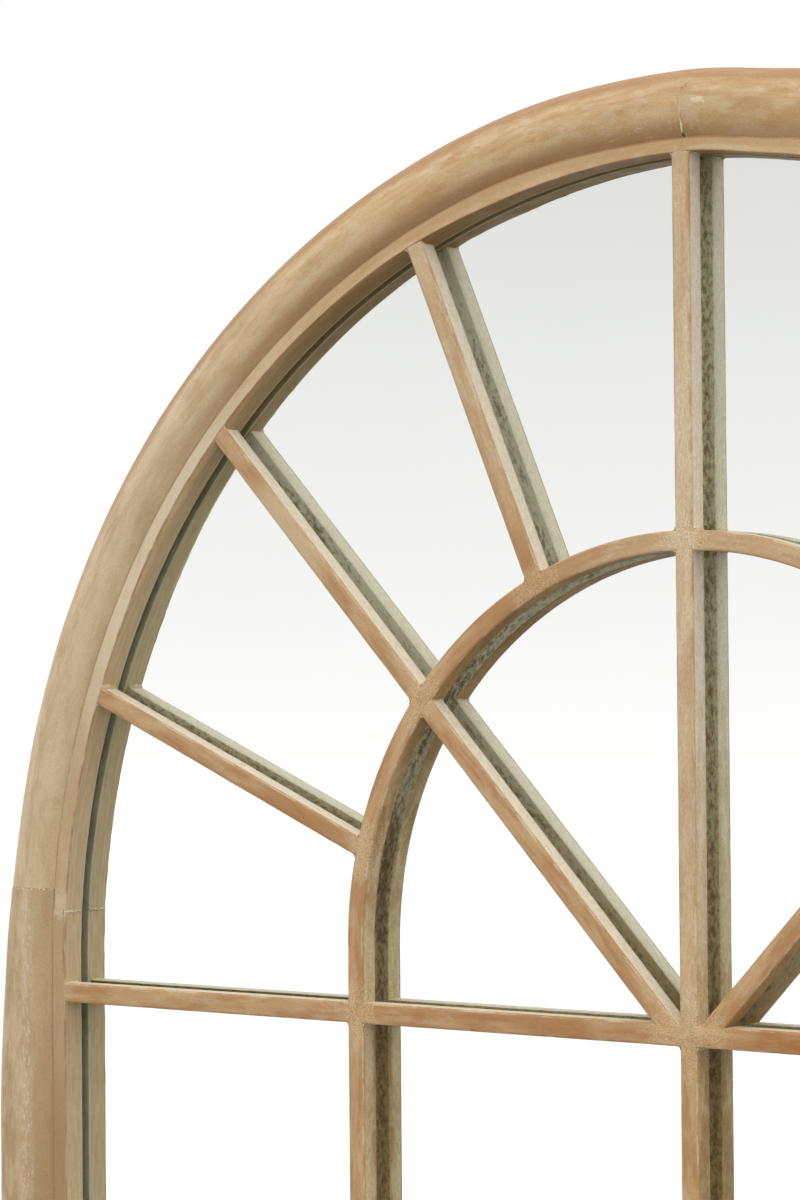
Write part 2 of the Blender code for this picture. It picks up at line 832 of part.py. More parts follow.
# Right-hand twins of the left-hand pieces, once every cut in them is set
for piece, look in (
    (arch_left, LIMED_WOOD),
    (stile_left, LIMED_WOOD),
    (inner_arch_left, BAR_WOOD),
    (inner_leg_left, BAR_WOOD),
    (long_spoke_left, BAR_WOOD),
    (low_spoke_left, BAR_WOOD),
    (high_spoke_left, BAR_WOOD),
):
    mirrored(piece, piece.name.replace("left", "right"), look)
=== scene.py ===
"""The looks of an arched wall mirror: limed wood mouldings and glazing bars before one mirror plate,
a hardboard back, and zinc strap hangers whose rings swing. Metres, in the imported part's frame."""

import math

import bmesh
import bpy
from mathutils import Matrix, Vector, noise


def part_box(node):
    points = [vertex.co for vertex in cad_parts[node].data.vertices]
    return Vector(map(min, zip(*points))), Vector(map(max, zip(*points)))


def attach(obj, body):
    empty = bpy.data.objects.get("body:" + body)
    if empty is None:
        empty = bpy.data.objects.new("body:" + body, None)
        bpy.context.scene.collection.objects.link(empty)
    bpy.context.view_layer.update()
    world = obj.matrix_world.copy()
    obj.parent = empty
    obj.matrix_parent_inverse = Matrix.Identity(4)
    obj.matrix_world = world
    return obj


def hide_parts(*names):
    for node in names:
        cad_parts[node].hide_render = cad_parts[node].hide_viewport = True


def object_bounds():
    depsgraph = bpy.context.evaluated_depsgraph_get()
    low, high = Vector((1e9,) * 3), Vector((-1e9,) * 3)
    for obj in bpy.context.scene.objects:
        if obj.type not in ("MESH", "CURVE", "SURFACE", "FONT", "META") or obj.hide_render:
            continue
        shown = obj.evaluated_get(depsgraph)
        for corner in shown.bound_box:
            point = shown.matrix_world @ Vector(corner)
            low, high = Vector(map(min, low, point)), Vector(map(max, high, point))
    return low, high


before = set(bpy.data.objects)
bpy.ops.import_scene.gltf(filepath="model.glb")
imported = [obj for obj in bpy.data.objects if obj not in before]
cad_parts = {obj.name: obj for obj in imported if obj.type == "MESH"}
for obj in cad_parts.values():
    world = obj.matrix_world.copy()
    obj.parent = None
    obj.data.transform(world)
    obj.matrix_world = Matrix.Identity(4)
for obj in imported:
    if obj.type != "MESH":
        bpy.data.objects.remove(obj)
cad_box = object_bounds()

MM = 0.001
quarter_turn = math.pi / 2

# The frame as in the part's source, and what only the looks have: the wear and the ease of the sight edge,
# the drifts, the drop beside the crown and the seam in the strip
outer_radius = 509.4 * MM
moulding_width = 58.4 * MM
arch_moulding_width = 46 * MM
crown_moulding_width = 44.3 * MM
crown_turn = math.radians(14)
taper_top = 1400 * MM
taper_foot = 1200 * MM
sight_radius = outer_radius - moulding_width
sight_wear = 2 * MM
frame_arc_height = 1300 * MM
springing_height = 1280.5 * MM
inner_arc_height = 1319 * MM
torus_shoulder_drop = 12 * MM
torus_crest_share = 0.372
sight_strip_width = 8 * MM
valley_width = 1.2 * MM
valley_depth = 0.8 * MM
torus_start = sight_strip_width + valley_width
torus_crest = torus_start + torus_crest_share * (moulding_width - torus_start)
crown_drift = -1.3 * MM
crown_drop = 3 * MM
side_drift = 1.6 * MM
strip_seam_height = 1330.5 * MM
torus_seam_height = 1343.5 * MM
seam_step = 0.3 * MM
sight_edge_ease = 0.3 * MM

# How far the new moulding stays inside the solid's crest and back, so that filler has room
filler_room = 0.3 * MM
torus_rise = 6 * MM - filler_room

# Turns from the crown, as the start and end of a smooth step: the fillet's drift, and where the wear of
# the sight edge and the drop beside the crown come in and go out
drift_comes = (0.03, 0.30)
wear_comes, wear_goes = (0.25, 0.45), (1.15, 0.9)
drop_comes, drop_goes = (0, 0.13), (0.9, 0.3)

# The crown's seam leans: between which distances from the sight edge, and how far to the right at each
crown_seam_lean = (8 * MM, 30 * MM, 2 * MM, 4 * MM)

# Depths
bar_front = -15.6 * MM
bar_depth = 12.4 * MM
lip_depth = 15.3 * MM
board_shoulder = 19.6 * MM
moulding_depth = 29.9 * MM
glass_rebate = 12 * MM
board_rebate = 20 * MM
mirror_face = 2.6 * MM
mirror_back = 4 * MM
glass_lap = 11 * MM

# Glazing bars
bar_width = 10.8 * MM
bar_edge_radius = 1.2 * MM
bar_back_radius = 1.1 * MM
springing_bar_growth = 0.9 * MM
inner_arch_radius = 225 * MM
lower_bar_heights = [873.13 * MM, 465.77 * MM]
cross_bar_heights = [springing_height, *lower_bar_heights]

# Each spoke's slope, and how far above the springing bar its axis meets the centre line
spokes = {
    "long": (math.radians(46.8), -9.7 * MM),
    "low": (math.radians(23.5), -1.7 * MM),
    "high": (math.radians(67.1), 12.3 * MM),
}

# Where other bars cross the inner arch, as angles up from the level of its centre
crossing_angles = [math.radians(angle) for angle in (-9.7, 14.1, 38.4, 64.5, 90)]

# Places on the bars' fronts, as (x, z) and reach, where the lime is rubbed away or lies thick
rubbed_places = [
    ((-264 * MM, 1393 * MM), 48 * MM),
    ((-103 * MM, 1517 * MM), 48 * MM),
    ((-85 * MM, springing_height), 30 * MM),
]
limed_places = [((-270 * MM, 1558 * MM), 48 * MM)]

# How the surfaces are worn
swell_height, swell_size = 0.10 * MM, 30 * MM
ripple_height, ripple_size = 0.05 * MM, 6 * MM
sight_chip_reach, sight_chip_depth = 1.2 * MM, 0.7 * MM
bar_chip_reach, bar_chip_depth = 1.5 * MM, 0.3 * MM
bar_back_roughness = 0.35 * MM

# Where the grain of a piece starts, in metres, so that no two pieces look alike
bar_grain_spacing = 3.7
inner_arch_grain = 50
rail_grain = 10

# The filler in the corners of the bars: the bulge of its curve as a share of its reach, how far behind the
# bars' front it starts, by how much it is less deep than they are, and the widest corner that it fills
fillet_bulge = 0.16
fillet_front, fillet_shortness = 0.25 * MM, 0.8 * MM
widest_filled = math.radians(150)

# The bead in the crown's seam and the caulk down the shoulders' seams
crown_bead_start, crown_bead_length = 8.6 * MM, 21 * MM
crown_bead_radius, crown_bead_flatness, crown_bead_sunk = 0.75 * MM, 0.6, 0.12 * MM
caulk_radius, caulk_past_seam = 1.3 * MM, 0.4 * MM
caulk_front, caulk_shortness = 0.2 * MM, 0.6 * MM

# How far the bars run into the frame, and lie behind one another where they cross
bar_into_frame = 3 * MM
bar_setback = 0.05 * MM
crossing_setback = 0.03 * MM

# Lengths along the moulding's middle: the arch from the crown to the stepped seam, and the stile's turn
middle_radius = sight_radius + arch_moulding_width / 2
stile_turn = 40 * MM
arch_length = middle_radius * quarter_turn - stile_turn
stile_length = stile_turn + frame_arc_height

# How fine the new meshes are
station = 2.5 * MM
strip_steps = 6
torus_steps = 14
front_edge_steps = 4
back_edge_steps = 2
fine_station = 0.5 * MM
plate_steps = 180
screw_steps = 96
bumper_steps = 48
ring_bow_steps = 72
ring_corner_steps = 14
wire_steps = 20

# Hangers, screws and bumpers
hanger_height = 1210.5 * MM
hanger_x = 485.5 * MM
fittings_back = moulding_depth + bar_front + filler_room
strap_width = 16 * MM
strap_length = 62 * MM
strap_thickness = 1.2 * MM
strap_corner = 3 * MM
strap_edge_radius = 0.3 * MM
eye_inner_radius = 2.05 * MM
eye_outer_radius = eye_inner_radius + strap_thickness
eye_turn = math.radians(270)
ring_wire = 3.5 * MM
ring_inner_width = 18.5 * MM
ring_side_length = 6 * MM
ring_corner_radius = 3 * MM
ring_smoothing = 0.8 * MM
ring_unevenness = 0.012
board_screw_head = (3.4 * MM, 1.8 * MM, 1.6 * MM)
strap_screw_head = (3.9 * MM, 2.2 * MM, 2 * MM)
bumper_radius = 11 * MM
bumper_thickness = 7 * MM
bumper_height = 42 * MM
bumper_edge_radius = 1.4 * MM
bumper_foot_chamfer = 0.4 * MM
bumper_hole_depth = 1.6 * MM
bumper_dish = [
    (7 * MM, 0),
    (6.2 * MM, 0.15 * MM),
    (5.2 * MM, 0.6 * MM),
    (4.2 * MM, 0.85 * MM),
    (3.2 * MM, 0.9 * MM),
    (2.9 * MM, 1.5 * MM),
    (1.4 * MM, bumper_hole_depth),
]

# A screw's thread as shares of its shank's radius and length, and its cross recess as shares of its head's
# radius, at the rim and at the floor of the recess, and of its head's height
thread_crest, thread_root, screw_neck = 0.98, 0.74, 0.9
thread_start, thread_run, thread_steps = 0.82, 0.72, 16
recess_arm, recess_reach, recess_depth = (0.17, 0.09), (0.58, 0.46), 0.55
turn_between_screws = 0.9

# How sharply an edge may turn and still be shaded as smooth
wood_crease = math.radians(35)
fitting_crease = math.radians(40)
fillet_crease = math.radians(50)
bead_crease = wire_crease = math.radians(60)

# The camera, as it was fitted to the photograph, and the light
camera_turns = [math.radians(angle) for angle in (-37.587, 1.095, 0.488)]
camera_place = (989.85 * MM, -1548.59 * MM, 1478.7 * MM)
camera_lens, camera_sensor = 102.75, 36
key_light_place, key_light_target = (1.2, -2.9, 2.2), (0, 0, 1.2)
key_light_size, key_light_power = 1.8, 27
floor_fades = (2.0, 6.0)

SIDES = {"left": -1, "right": 1}


# Materials

wood_gloss = 0.35
lowest_reflection = (1.34, 1.24, 1.26)


def new_node(tree, kind, **settings):
    made = tree.nodes.new("ShaderNode" + kind)
    for setting, value in settings.items():
        setattr(made, setting, value)
    return made


def feed(socket, value):
    if isinstance(value, bpy.types.NodeSocket):
        socket.id_data.links.new(value, socket)
    elif isinstance(value, tuple) and len(value) == 3 and socket.type == "RGBA":
        socket.default_value = (*value, 1)
    else:
        socket.default_value = value


def result_of(kind, output, values, **settings):
    """An output of a new node that is fed the values, in the tree of the first value that is a socket."""
    tree = next(value.id_data for value in values.values() if isinstance(value, bpy.types.NodeSocket))
    made = new_node(tree, kind, **settings)
    for name, value in values.items():
        feed(made.inputs[name], value)
    return made.outputs[output]


def maths(operation, first, second=0.0, third=0.0, clamp=False):
    values = {0: first, 1: second, 2: third}
    return result_of("Math", 0, values, operation=operation, use_clamp=clamp)


def less(first, second):
    return maths("SUBTRACT", first, second)


def unsigned(value):
    return maths("ABSOLUTE", value)


def both(*shares):
    """The product of the shares."""
    result = shares[0]
    for share in shares[1:]:
        result = maths("MULTIPLY", result, share)
    return result


def total_of(*values):
    result = values[0]
    for value in values[1:]:
        result = maths("ADD", result, value)
    return result


def total(*values):
    """The sum, kept between 0 and 1."""
    return maths("ADD", total_of(*values), clamp=True)


def distance(first, second):
    return maths("SQRT", maths("ADD", both(first, first), both(second, second)))


def ease(value, start, end, low=0.0, high=1.0):
    """A smooth step from low at start to high at end."""
    values = {"Value": value, "From Min": start, "From Max": end, "To Min": low, "To Max": high}
    if start > end:
        values.update({"From Min": end, "From Max": start, "To Min": high, "To Max": low})
    return result_of("MapRange", "Result", values, interpolation_type="SMOOTHSTEP")


def window(value, low, high, softness):
    """1 between low and high, with a soft edge outside each."""
    return both(ease(value, low - softness, low), ease(value, high + softness, high))


def mix(share, first, second, blend="MIX"):
    values = {"Factor": share, "A": first, "B": second}
    return result_of("Mix", "Result", values, data_type="RGBA", blend_type=blend)


def shaded(colour, shade):
    """The colour made lighter or darker by a factor round 1."""
    tone = result_of("CombineXYZ", 0, {0: shade, 1: shade, 2: shade})
    return mix(1.0, colour, tone, "MULTIPLY")


def parts_of(vector):
    parts = new_node(vector.id_data, "SeparateXYZ")
    feed(parts.inputs[0], vector)
    return tuple(parts.outputs)


def scaled(vector, sizes):
    """The vector measured in patches of the given sizes in millimetres."""
    patch = tuple(size * MM for size in sizes)
    return result_of("VectorMath", 0, {0: vector, 1: patch}, operation="DIVIDE")


def mottle(vector, sizes, detail, roughness, distortion=0.0):
    """Soft noise whose patches have the given sizes in millimetres, from 0 to 1 round 0.5."""
    values = {"Vector": scaled(vector, sizes), "Scale": 1, "Detail": detail, "Roughness": roughness}
    return result_of("TexNoise", "Fac", {**values, "Distortion": distortion})


def off_ring(x, z):
    """How far a place lies from the middle of the inner arch's bar, inside or outside it."""
    return unsigned(less(distance(x, less(z, inner_arc_height)), inner_arch_radius))


def at_crossings(x, z):
    """1 where bars meet: at the hub, and along the inner arch where another bar crosses it."""
    found = ease(distance(x, less(z, springing_height)), 34 * MM, 16 * MM)
    turn = maths("ARCTAN2", less(z, inner_arc_height), unsigned(x))
    near_ring = ease(off_ring(x, z), 14 * MM, 7 * MM)
    for angle in crossing_angles:
        near = ease(unsigned(less(turn, angle)), 0.10, 0.05)
        found = maths("MAXIMUM", found, both(near, near_ring))
    return found


def near_places(x, z, places):
    """1 near any of the places, each (x, z) with its reach, with a soft edge."""
    return total(
        *(ease(distance(less(x, place[0]), less(z, place[1])), reach, 0.4 * reach) for place, reach in places)
    )


class Finish:
    """A material in the making; colour is what has been painted so far."""

    def __init__(self, name):
        self.colour = None
        self.material = bpy.data.materials.new(name)
        self.material.use_nodes = True
        self.tree = self.material.node_tree
        self.shader = self.tree.nodes["Principled BSDF"]

    def coordinates(self, kind="Object"):
        return new_node(self.tree, "TexCoord").outputs[kind]

    def grain(self):
        """The piece's own grain places: the vector, and its parts along, across and through, in metres."""
        vector = new_node(self.tree, "Attribute", attribute_name="grain").outputs["Vector"]
        return (vector, *parts_of(vector))

    def paint(self, colour, *shares):
        """Lays a colour over what is there, as far as all of the shares let it."""
        self.colour = mix(both(*shares), self.colour, colour)

    def bump(self, height, distance, strength):
        values = {"Height": height, "Distance": distance, "Strength": strength}
        feed(self.shader.inputs["Normal"], result_of("Bump", 0, values))

    def set(self, **inputs):
        sockets = {socket.name.lower(): socket for socket in self.shader.inputs}
        for name, value in inputs.items():
            feed(sockets[name.replace("_", " ")], value)
        return self.material


def bar_finish():
    """Limed glazing bar: rubbed orange to tan fronts with painted highlights along their edges, lime dust and
    painted light from above on the sides that look up, painted shade on the sides that face down, and a rough
    back that is partly painted light.
    """
    finish = Finish("limed_bar")
    grain, _, across, through = finish.grain()
    x, _, z = parts_of(finish.coordinates())
    aside, off_axis = unsigned(x), unsigned(across)
    facing = parts_of(finish.coordinates("Normal"))[2]
    broad = mottle(grain, (48, 9, 20), 3, 0.6)
    patch = mottle(grain, (26, 6, 9), 4, 0.65, 0.4)
    speckle = mottle(grain, (0.9, 0.7, 0.7), 2, 0.75)
    scuff = mottle(grain, (3.5, 1.2, 1.4), 3, 0.7)
    pore = mottle(grain, (5, 0.5, 0.5), 2, 0.6)
    craze = mottle(grain, (1.5, 1.3, 1.4), 3, 0.7, 1.0)

    upper = ease(z, 1.2, 1.55)
    crossing = at_crossings(x, z)
    on_centre_bar = ease(aside, 12 * MM, 6 * MM)
    leaning = less(z, both(aside, 0.6))
    rise = ease(leaning, 1.42, 1.64)
    rubbed = mix(ease(broad, 0.4, 0.6), (0.395, 0.208, 0.085), (0.485, 0.298, 0.142))
    bright_side = both(
        window(z, springing_height - 12 * MM, springing_height + 12 * MM, 8 * MM),
        total(ease(x, 25 * MM, 60 * MM), ease(x, -230 * MM, -200 * MM, 0, 0.35)),
        ease(patch, 0.3, 0.55, 1, 0.6),
    )
    limed = mix(ease(scuff, 0.38, 0.62), (0.555, 0.425, 0.255), (0.655, 0.54, 0.38))
    central = both(on_centre_bar, ease(z, 1.25, 1.3), ease(z, 1.71, 1.58))
    lime_share = total(
        ease(patch, 0.36, 0.7, -0.05, 0.38),
        both(rise, 0.5),
        both(crossing, 0.04),
        both(central, 0.45),
    )
    finish.colour = mix(lime_share, rubbed, limed)
    finish.paint((0.35, 0.165, 0.055), near_places(x, z, rubbed_places), 0.6)
    finish.paint((0.60, 0.48, 0.31), near_places(x, z, limed_places), 0.6)
    finish.paint((0.325, 0.125, 0.036), bright_side)
    crazing = ease(unsigned(less(craze, 0.5)), 0.075, 0.03)
    finish.paint((0.64, 0.48, 0.275), crazing, ease(crossing, 0, 1, 0.05, 0.6))
    cracked = both(ease(mottle(grain, (1.7, 1.5, 1.6), 3, 0.7, 1.0), 0.56, 0.63), crossing)
    finish.paint((0.27, 0.15, 0.06), cracked, 0.5)

    # Paler on the sides that look up and on the bars up high: partly lime dust settled there, partly painted
    # light from above. Darker on the sides under the springing bar towards the back: painted shadow.
    dust_and_top_light = total(
        maths("MULTIPLY_ADD", facing, 1.25, third=0.25),
        both(upper, 0.7),
        ease(patch, 0.35, 0.65, -0.14, 0.14),
        both(ease(z, 1.285, 1.27), ease(through, 5 * MM, 11 * MM), -0.12),
        both(ease(aside, 180 * MM, 205 * MM), ease(z, 1.35, 1.3), 0.1),
        both(on_centre_bar, ease(z, 1.52, 1.62), 0.2),
    )
    scuffed = ease(scuff, 0.35, 0.65)
    bare = mix(scuffed, (0.35, 0.19, 0.066), (0.43, 0.26, 0.105))
    # Painted shade: a darker copy of the bare colour for the sides that face down.
    painted_underside_shade = mix(scuffed, (0.25, 0.12, 0.035), (0.32, 0.17, 0.06))
    dusted_and_lit = mix(scuffed, (0.56, 0.42, 0.235), (0.66, 0.52, 0.31))
    cream = mix(scuffed, (0.72, 0.61, 0.45), (0.83, 0.72, 0.56))
    bare = mix(ease(total_of(facing, both(crossing, 0.3)), -0.9, -0.6), painted_underside_shade, bare)
    side = mix(ease(dust_and_top_light, 0.05, 0.5), bare, dusted_and_lit)
    side = mix(ease(dust_and_top_light, 0.5, 0.95), side, cream)
    side_share = both(
        ease(off_axis, bar_width / 2 - 0.6 * MM, bar_width / 2 - 0.15 * MM),
        ease(through, 0.9 * MM, 2.4 * MM),
    )
    finish.paint(side, side_share)
    edge = both(
        ease(off_axis, 3.4 * MM, 4.9 * MM),
        ease(through, 2.0 * MM, 0.6 * MM),
        ease(mottle(grain, (30, 8, 8), 3, 0.6), 0.42, 0.56),
    )
    finish.paint((0.44, 0.25, 0.108), edge, 0.7)
    # Painted highlight: thin pale lines along the bars' front edges, where the light catches them.
    arris = both(
        ease(off_axis, 4.3 * MM, 4.9 * MM),
        ease(through, 1.3 * MM, 0.7 * MM),
        ease(mottle(grain, (22, 6, 6), 3, 0.6), 0.5, 0.42),
    )
    finish.paint((0.70, 0.58, 0.40), arris, 0.45)

    back = ease(through, bar_depth - 0.9 * MM, bar_depth - 0.5 * MM)
    rim = ease(off_axis, 0.6 * MM, 4.4 * MM)
    steep = both(ease(leaning, 1.255, 1.27), ease(aside, 10 * MM, 18 * MM))
    on_ring = both(ease(off_ring(x, z), 9 * MM, 7 * MM), ease(z, inner_arc_height, 1.32))
    flecks = total(
        ease(mottle(grain, (5, 2.4, 2.4), 5, 0.75), 0.37, 0.62),
        both(rim, 0.35),
        both(steep, ease(broad, 0.38, 0.6, 0.1, 0.6)),
        both(on_ring, -0.4),
    )
    # Painted light and shade on the backs: paler up high and palest on the steep bars, darker on the sloping
    # bars low by the frame, for how much light reaches the gap behind each bar. The dark and pale flecks are
    # the rough back's own.
    sloping = both(ease(aside, 235 * MM, 250 * MM), ease(z, springing_height + 12 * MM, 1.29))
    lit_high_back = mix(steep, (0.98, 0.79, 0.55), (1.0, 0.83, 0.63))
    deep_back = mix(steep, (0.36, 0.235, 0.11), (0.29, 0.19, 0.09))
    pale_back = mix(upper, (0.60, 0.37, 0.165), lit_high_back)
    dark_back = mix(upper, (0.235, 0.13, 0.05), deep_back)
    browner = both(sloping, less(1.0, steep))
    pale_back = mix(browner, pale_back, (0.40, 0.235, 0.105))
    dark_back = mix(browner, dark_back, (0.14, 0.07, 0.024))
    rough_back = mix(flecks, dark_back, pale_back)
    finish.paint(rough_back, back)

    strength = maths("MULTIPLY_ADD", crossing, 0.16, third=0.1)
    shade = both(
        maths("MULTIPLY_ADD", ease(speckle, 0.3, 0.7, -1, 1), strength, third=1.0),
        ease(pore, 0.28, 0.42, 0.9, 1),
    )
    finish.bump(total(speckle, both(scuff, 1.5)), 0.14 * MM, 0.6)
    roughness = ease(scuff, 0.3, 0.7, 0.72, 0.56)
    colour = shaded(finish.colour, shade)
    return finish.set(base_color=colour, roughness=roughness, specular_ior_level=wood_gloss)


def moulding_finish():
    """Limed moulding: tan torus, brown valley with painted shade at the crown, pale strip, orange along the
    outer shoulder, a painted highlight on the stile's crest, an inner wall in painted light and shade, raw
    behind with the lip's back painted paler.
    """
    finish = Finish("limed_moulding")
    grain, along, across, through = finish.grain()
    reach = unsigned(along)
    broad = mottle(grain, (60, 13, 20), 3, 0.6, 0.3)
    cloud = mottle(grain, (17, 7, 9), 5, 0.65, 0.3)
    streak = mottle(grain, (26, 1.8, 2.2), 4, 0.65)
    speckle = mottle(grain, (0.9, 0.8, 0.8), 2, 0.75)
    pore = mottle(grain, (4, 0.6, 0.6), 2, 0.6)

    crown = ease(reach, 0.44, 0.16)
    stile = ease(reach, arch_length - 1 * MM, arch_length + 1 * MM)
    lowest = ease(reach, arch_length + 0.05, arch_length + 0.2)

    mottled = ease(broad, 0.38, 0.62)
    rich = mix(mottled, (0.50, 0.318, 0.150), (0.585, 0.400, 0.212))
    pale = mix(mottled, (0.50, 0.378, 0.218), (0.60, 0.470, 0.295))
    brown = mix(mottled, (0.36, 0.242, 0.112), (0.475, 0.350, 0.190))
    tan = mix(crown, pale, rich)
    tan = mix(both(stile, ease(lowest, 0, 1, 0.55, 1)), tan, brown)
    limed = mix(ease(across, 24 * MM, 31 * MM), (0.60, 0.475, 0.300), (0.68, 0.54, 0.355))
    inner_stile = both(stile, ease(across, 30 * MM, 24 * MM))
    lime_share = both(ease(cloud, 0.42, 0.68, 0, 0.6), ease(inner_stile, 0, 1, 1, 0.35))
    finish.colour = mix(lime_share, tan, limed)
    outer_stile = both(stile, ease(across, 23 * MM, 33 * MM), ease(lowest, 0, 1, 0.2, 0.4))
    finish.paint((0.37, 0.235, 0.105), outer_stile, ease(broad, 0.3, 0.7, 0.6, 1))
    browned = both(inner_stile, ease(broad, 0.3, 0.6, 0.35, 0.75), ease(lowest, 0, 1, 0.5, 1))
    finish.paint((0.345, 0.218, 0.105), browned)

    strip = ease(across, sight_strip_width + 0.2 * MM, sight_strip_width - 0.4 * MM)
    chalky = both(strip, ease(reach, 0.32, 0.40), ease(reach, 0.62, 0.50))
    finish.paint((0.67, 0.545, 0.385), chalky, ease(cloud, 0.3, 0.5, 0.4, 0.9))
    finish.paint((0.47, 0.305, 0.155), strip, ease(reach, 0.3, 0.2), ease(across, 2.5 * MM, 5 * MM), 0.6)
    finish.paint((0.43, 0.295, 0.155), strip, ease(reach, 0.56, 0.64), ease(cloud, 0.3, 0.6, 0.3, 0.65))
    rubbed_strip = both(strip, ease(reach, arch_length + 80 * MM, arch_length + 150 * MM, 0, 0.5))
    finish.paint((0.32, 0.19, 0.08), rubbed_strip)

    # Dark brown at the valley and on the torus's inner side, strongest at the crown and faint down the stile:
    # partly a darker glaze in the valley, partly painted shade where the torus's inner side faces down.
    valley_glaze_and_shade = both(
        ease(across, sight_strip_width - 0.6 * MM, sight_strip_width + 0.6 * MM),
        ease(across, 21 * MM, 11 * MM),
        ease(through, 6 * MM, 3 * MM),
        ease(cloud, 0.3, 0.6, 0.75, 1),
        ease(reach, 0.52, 0.24, 0.12, 0.8),
        less(1.0, both(window(along, -80 * MM, -20 * MM, 12 * MM), 0.45)),
    )
    finish.paint((0.29, 0.15, 0.056), valley_glaze_and_shade)
    quirk = both(
        ease(across, sight_strip_width - 0.3 * MM, sight_strip_width + 0.3 * MM),
        ease(across, sight_strip_width + 1.6 * MM, sight_strip_width + 0.9 * MM),
        ease(cloud, 0.4, 0.6, 0.2, 0.7),
    )
    finish.paint((0.33, 0.19, 0.085), quirk)
    shoulder = both(ease(across, 41 * MM, 50 * MM), ease(streak, 0.25, 0.55, 0.7, 1), ease(reach, 0.62, 0.34))
    finish.paint((0.385, 0.215, 0.10), shoulder, 0.9)
    orange = both(
        ease(across, 12 * MM, 16 * MM),
        ease(mottle(grain, (24, 8, 12), 3, 0.6), 0.56, 0.68),
        ease(crown, 0, 1, 0.25, 0.6),
    )
    finish.paint((0.47, 0.27, 0.12), orange)

    # Painted light and shade on the inner wall: dark brown at the crown, where it faces down, and paler down
    # the sides, where it turns towards the light from above.
    wall = ease(across, 0.4 * MM, 0.1 * MM)
    streaked = ease(streak, 0.35, 0.65)
    shaded_wall = mix(streaked, (0.23, 0.125, 0.035), (0.29, 0.165, 0.055))
    painted_lit_wall = mix(streaked, (0.51, 0.37, 0.20), (0.62, 0.46, 0.275))
    wall_colour = mix(ease(reach, 0.22, 0.50), shaded_wall, painted_lit_wall)
    finish.paint(wall_colour, wall)
    arris = both(
        ease(across, 1.1 * MM, 0.4 * MM),
        ease(through, 1.5 * MM, 0.6 * MM),
        ease(mottle(grain, (26, 6, 6), 3, 0.6), 0.4, 0.55),
    )
    finish.paint((0.36, 0.185, 0.10), arris, 0.8)
    rear_line = both(wall, ease(through, lip_depth - 1.6 * MM, lip_depth - 0.8 * MM))
    finish.paint((0.62, 0.52, 0.37), rear_line, 0.7)

    wander = ease(mottle(grain, (30, 5, 30), 3, 0.7), 0.3, 0.7, -1.4 * MM, 1.4 * MM)
    past_crown = total_of(along, wander, ease(across, *crown_seam_lean))
    front = ease(through, 8 * MM, 6 * MM)
    swirl = ease(mottle(grain, (6, 5, 6), 3, 0.7), 0.3, 0.7, -3 * MM, 3 * MM)
    blur = ease(mottle(grain, (3, 2, 3), 3, 0.7, 0.5), 0.3, 0.7, -1.2 * MM, 1.2 * MM)
    smear = both(
        window(total_of(along, swirl), -13 * MM, -8 * MM, 4 * MM),
        window(total_of(across, swirl), 16 * MM, 25 * MM, 4 * MM),
        front,
    )
    finish.paint((0.57, 0.44, 0.29), smear, ease(cloud, 0.35, 0.55, 0.15, 0.5))
    dab = both(
        window(total_of(along, blur), -18.5 * MM, -12.5 * MM, 1.2 * MM),
        window(total_of(across, both(blur, 0.6)), 25.4 * MM, 27.6 * MM, 0.9 * MM),
        front,
    )
    finish.paint((0.72, 0.58, 0.41), dab, ease(speckle, 0.2, 0.55, 0.35, 0.9))
    spot = both(
        window(total_of(along, blur), -1.5 * MM, 1 * MM, 2 * MM),
        window(total_of(across, blur), 22 * MM, 26 * MM, 2 * MM),
        front,
    )
    finish.paint((0.55, 0.29, 0.12), spot, 0.5)
    scratches = both(
        window(along, 0, 42 * MM, 8 * MM),
        window(across, 12 * MM, 22 * MM, 4 * MM),
        ease(mottle(grain, (6, 2.5, 2), 4, 0.75, 1.2), 0.56, 0.66),
        front,
    )
    finish.paint((0.70, 0.60, 0.42), scratches, 0.45)
    seam = both(ease(unsigned(past_crown), 0.5 * MM, 0.15 * MM), window(across, 0, 36 * MM, 2 * MM), front)
    finish.paint((0.24, 0.13, 0.06), seam, ease(cloud, 0.35, 0.6, 0.0, 0.6))
    slanted = total_of(along, both(across, 0.6), blur, -17 * MM)
    crack = both(
        ease(unsigned(slanted), 0.55 * MM, 0.2 * MM),
        window(across, 36 * MM, 43 * MM, 0.8 * MM),
        window(along, -10 * MM, -3 * MM, 1 * MM),
    )
    finish.paint((0.20, 0.11, 0.055), crack, 0.8)
    hole = both(window(along, -3.4 * MM, -1.8 * MM, 0.6 * MM), window(across, 9 * MM, 10.6 * MM, 0.6 * MM))
    finish.paint((0.10, 0.06, 0.035), hole)

    past_seam = less(reach, arch_length)
    ragged = ease(mottle(grain, (12, 2.2, 4), 3, 0.7), 0.35, 0.65, -0.5 * MM, 0.5 * MM)
    joint = ease(unsigned(total_of(past_seam, ragged)), 0.55 * MM, 0.15 * MM)
    dots = ease(mottle(grain, (2, 1.4, 2), 2, 0.6), 0.5, 0.56)
    joint_colour = mix(dots, (0.31, 0.185, 0.085), (0.76, 0.66, 0.48))
    finish.paint(joint_colour, joint, front, 0.8)
    patch = both(
        strip,
        window(total_of(past_seam, swirl), -8 * MM, 2 * MM, 5 * MM),
        ease(cloud, 0.35, 0.5, 0.3, 0.7),
        ease(through, 4 * MM, 2 * MM),
    )
    finish.paint((0.60, 0.48, 0.32), patch)
    split = both(
        ease(unsigned(total_of(across, ragged, -1.3 * MM)), 0.4 * MM, 0.12 * MM),
        window(past_seam, 1 * MM, 44 * MM, 4 * MM),
        front,
    )
    finish.paint((0.22, 0.11, 0.055), split, 0.75)

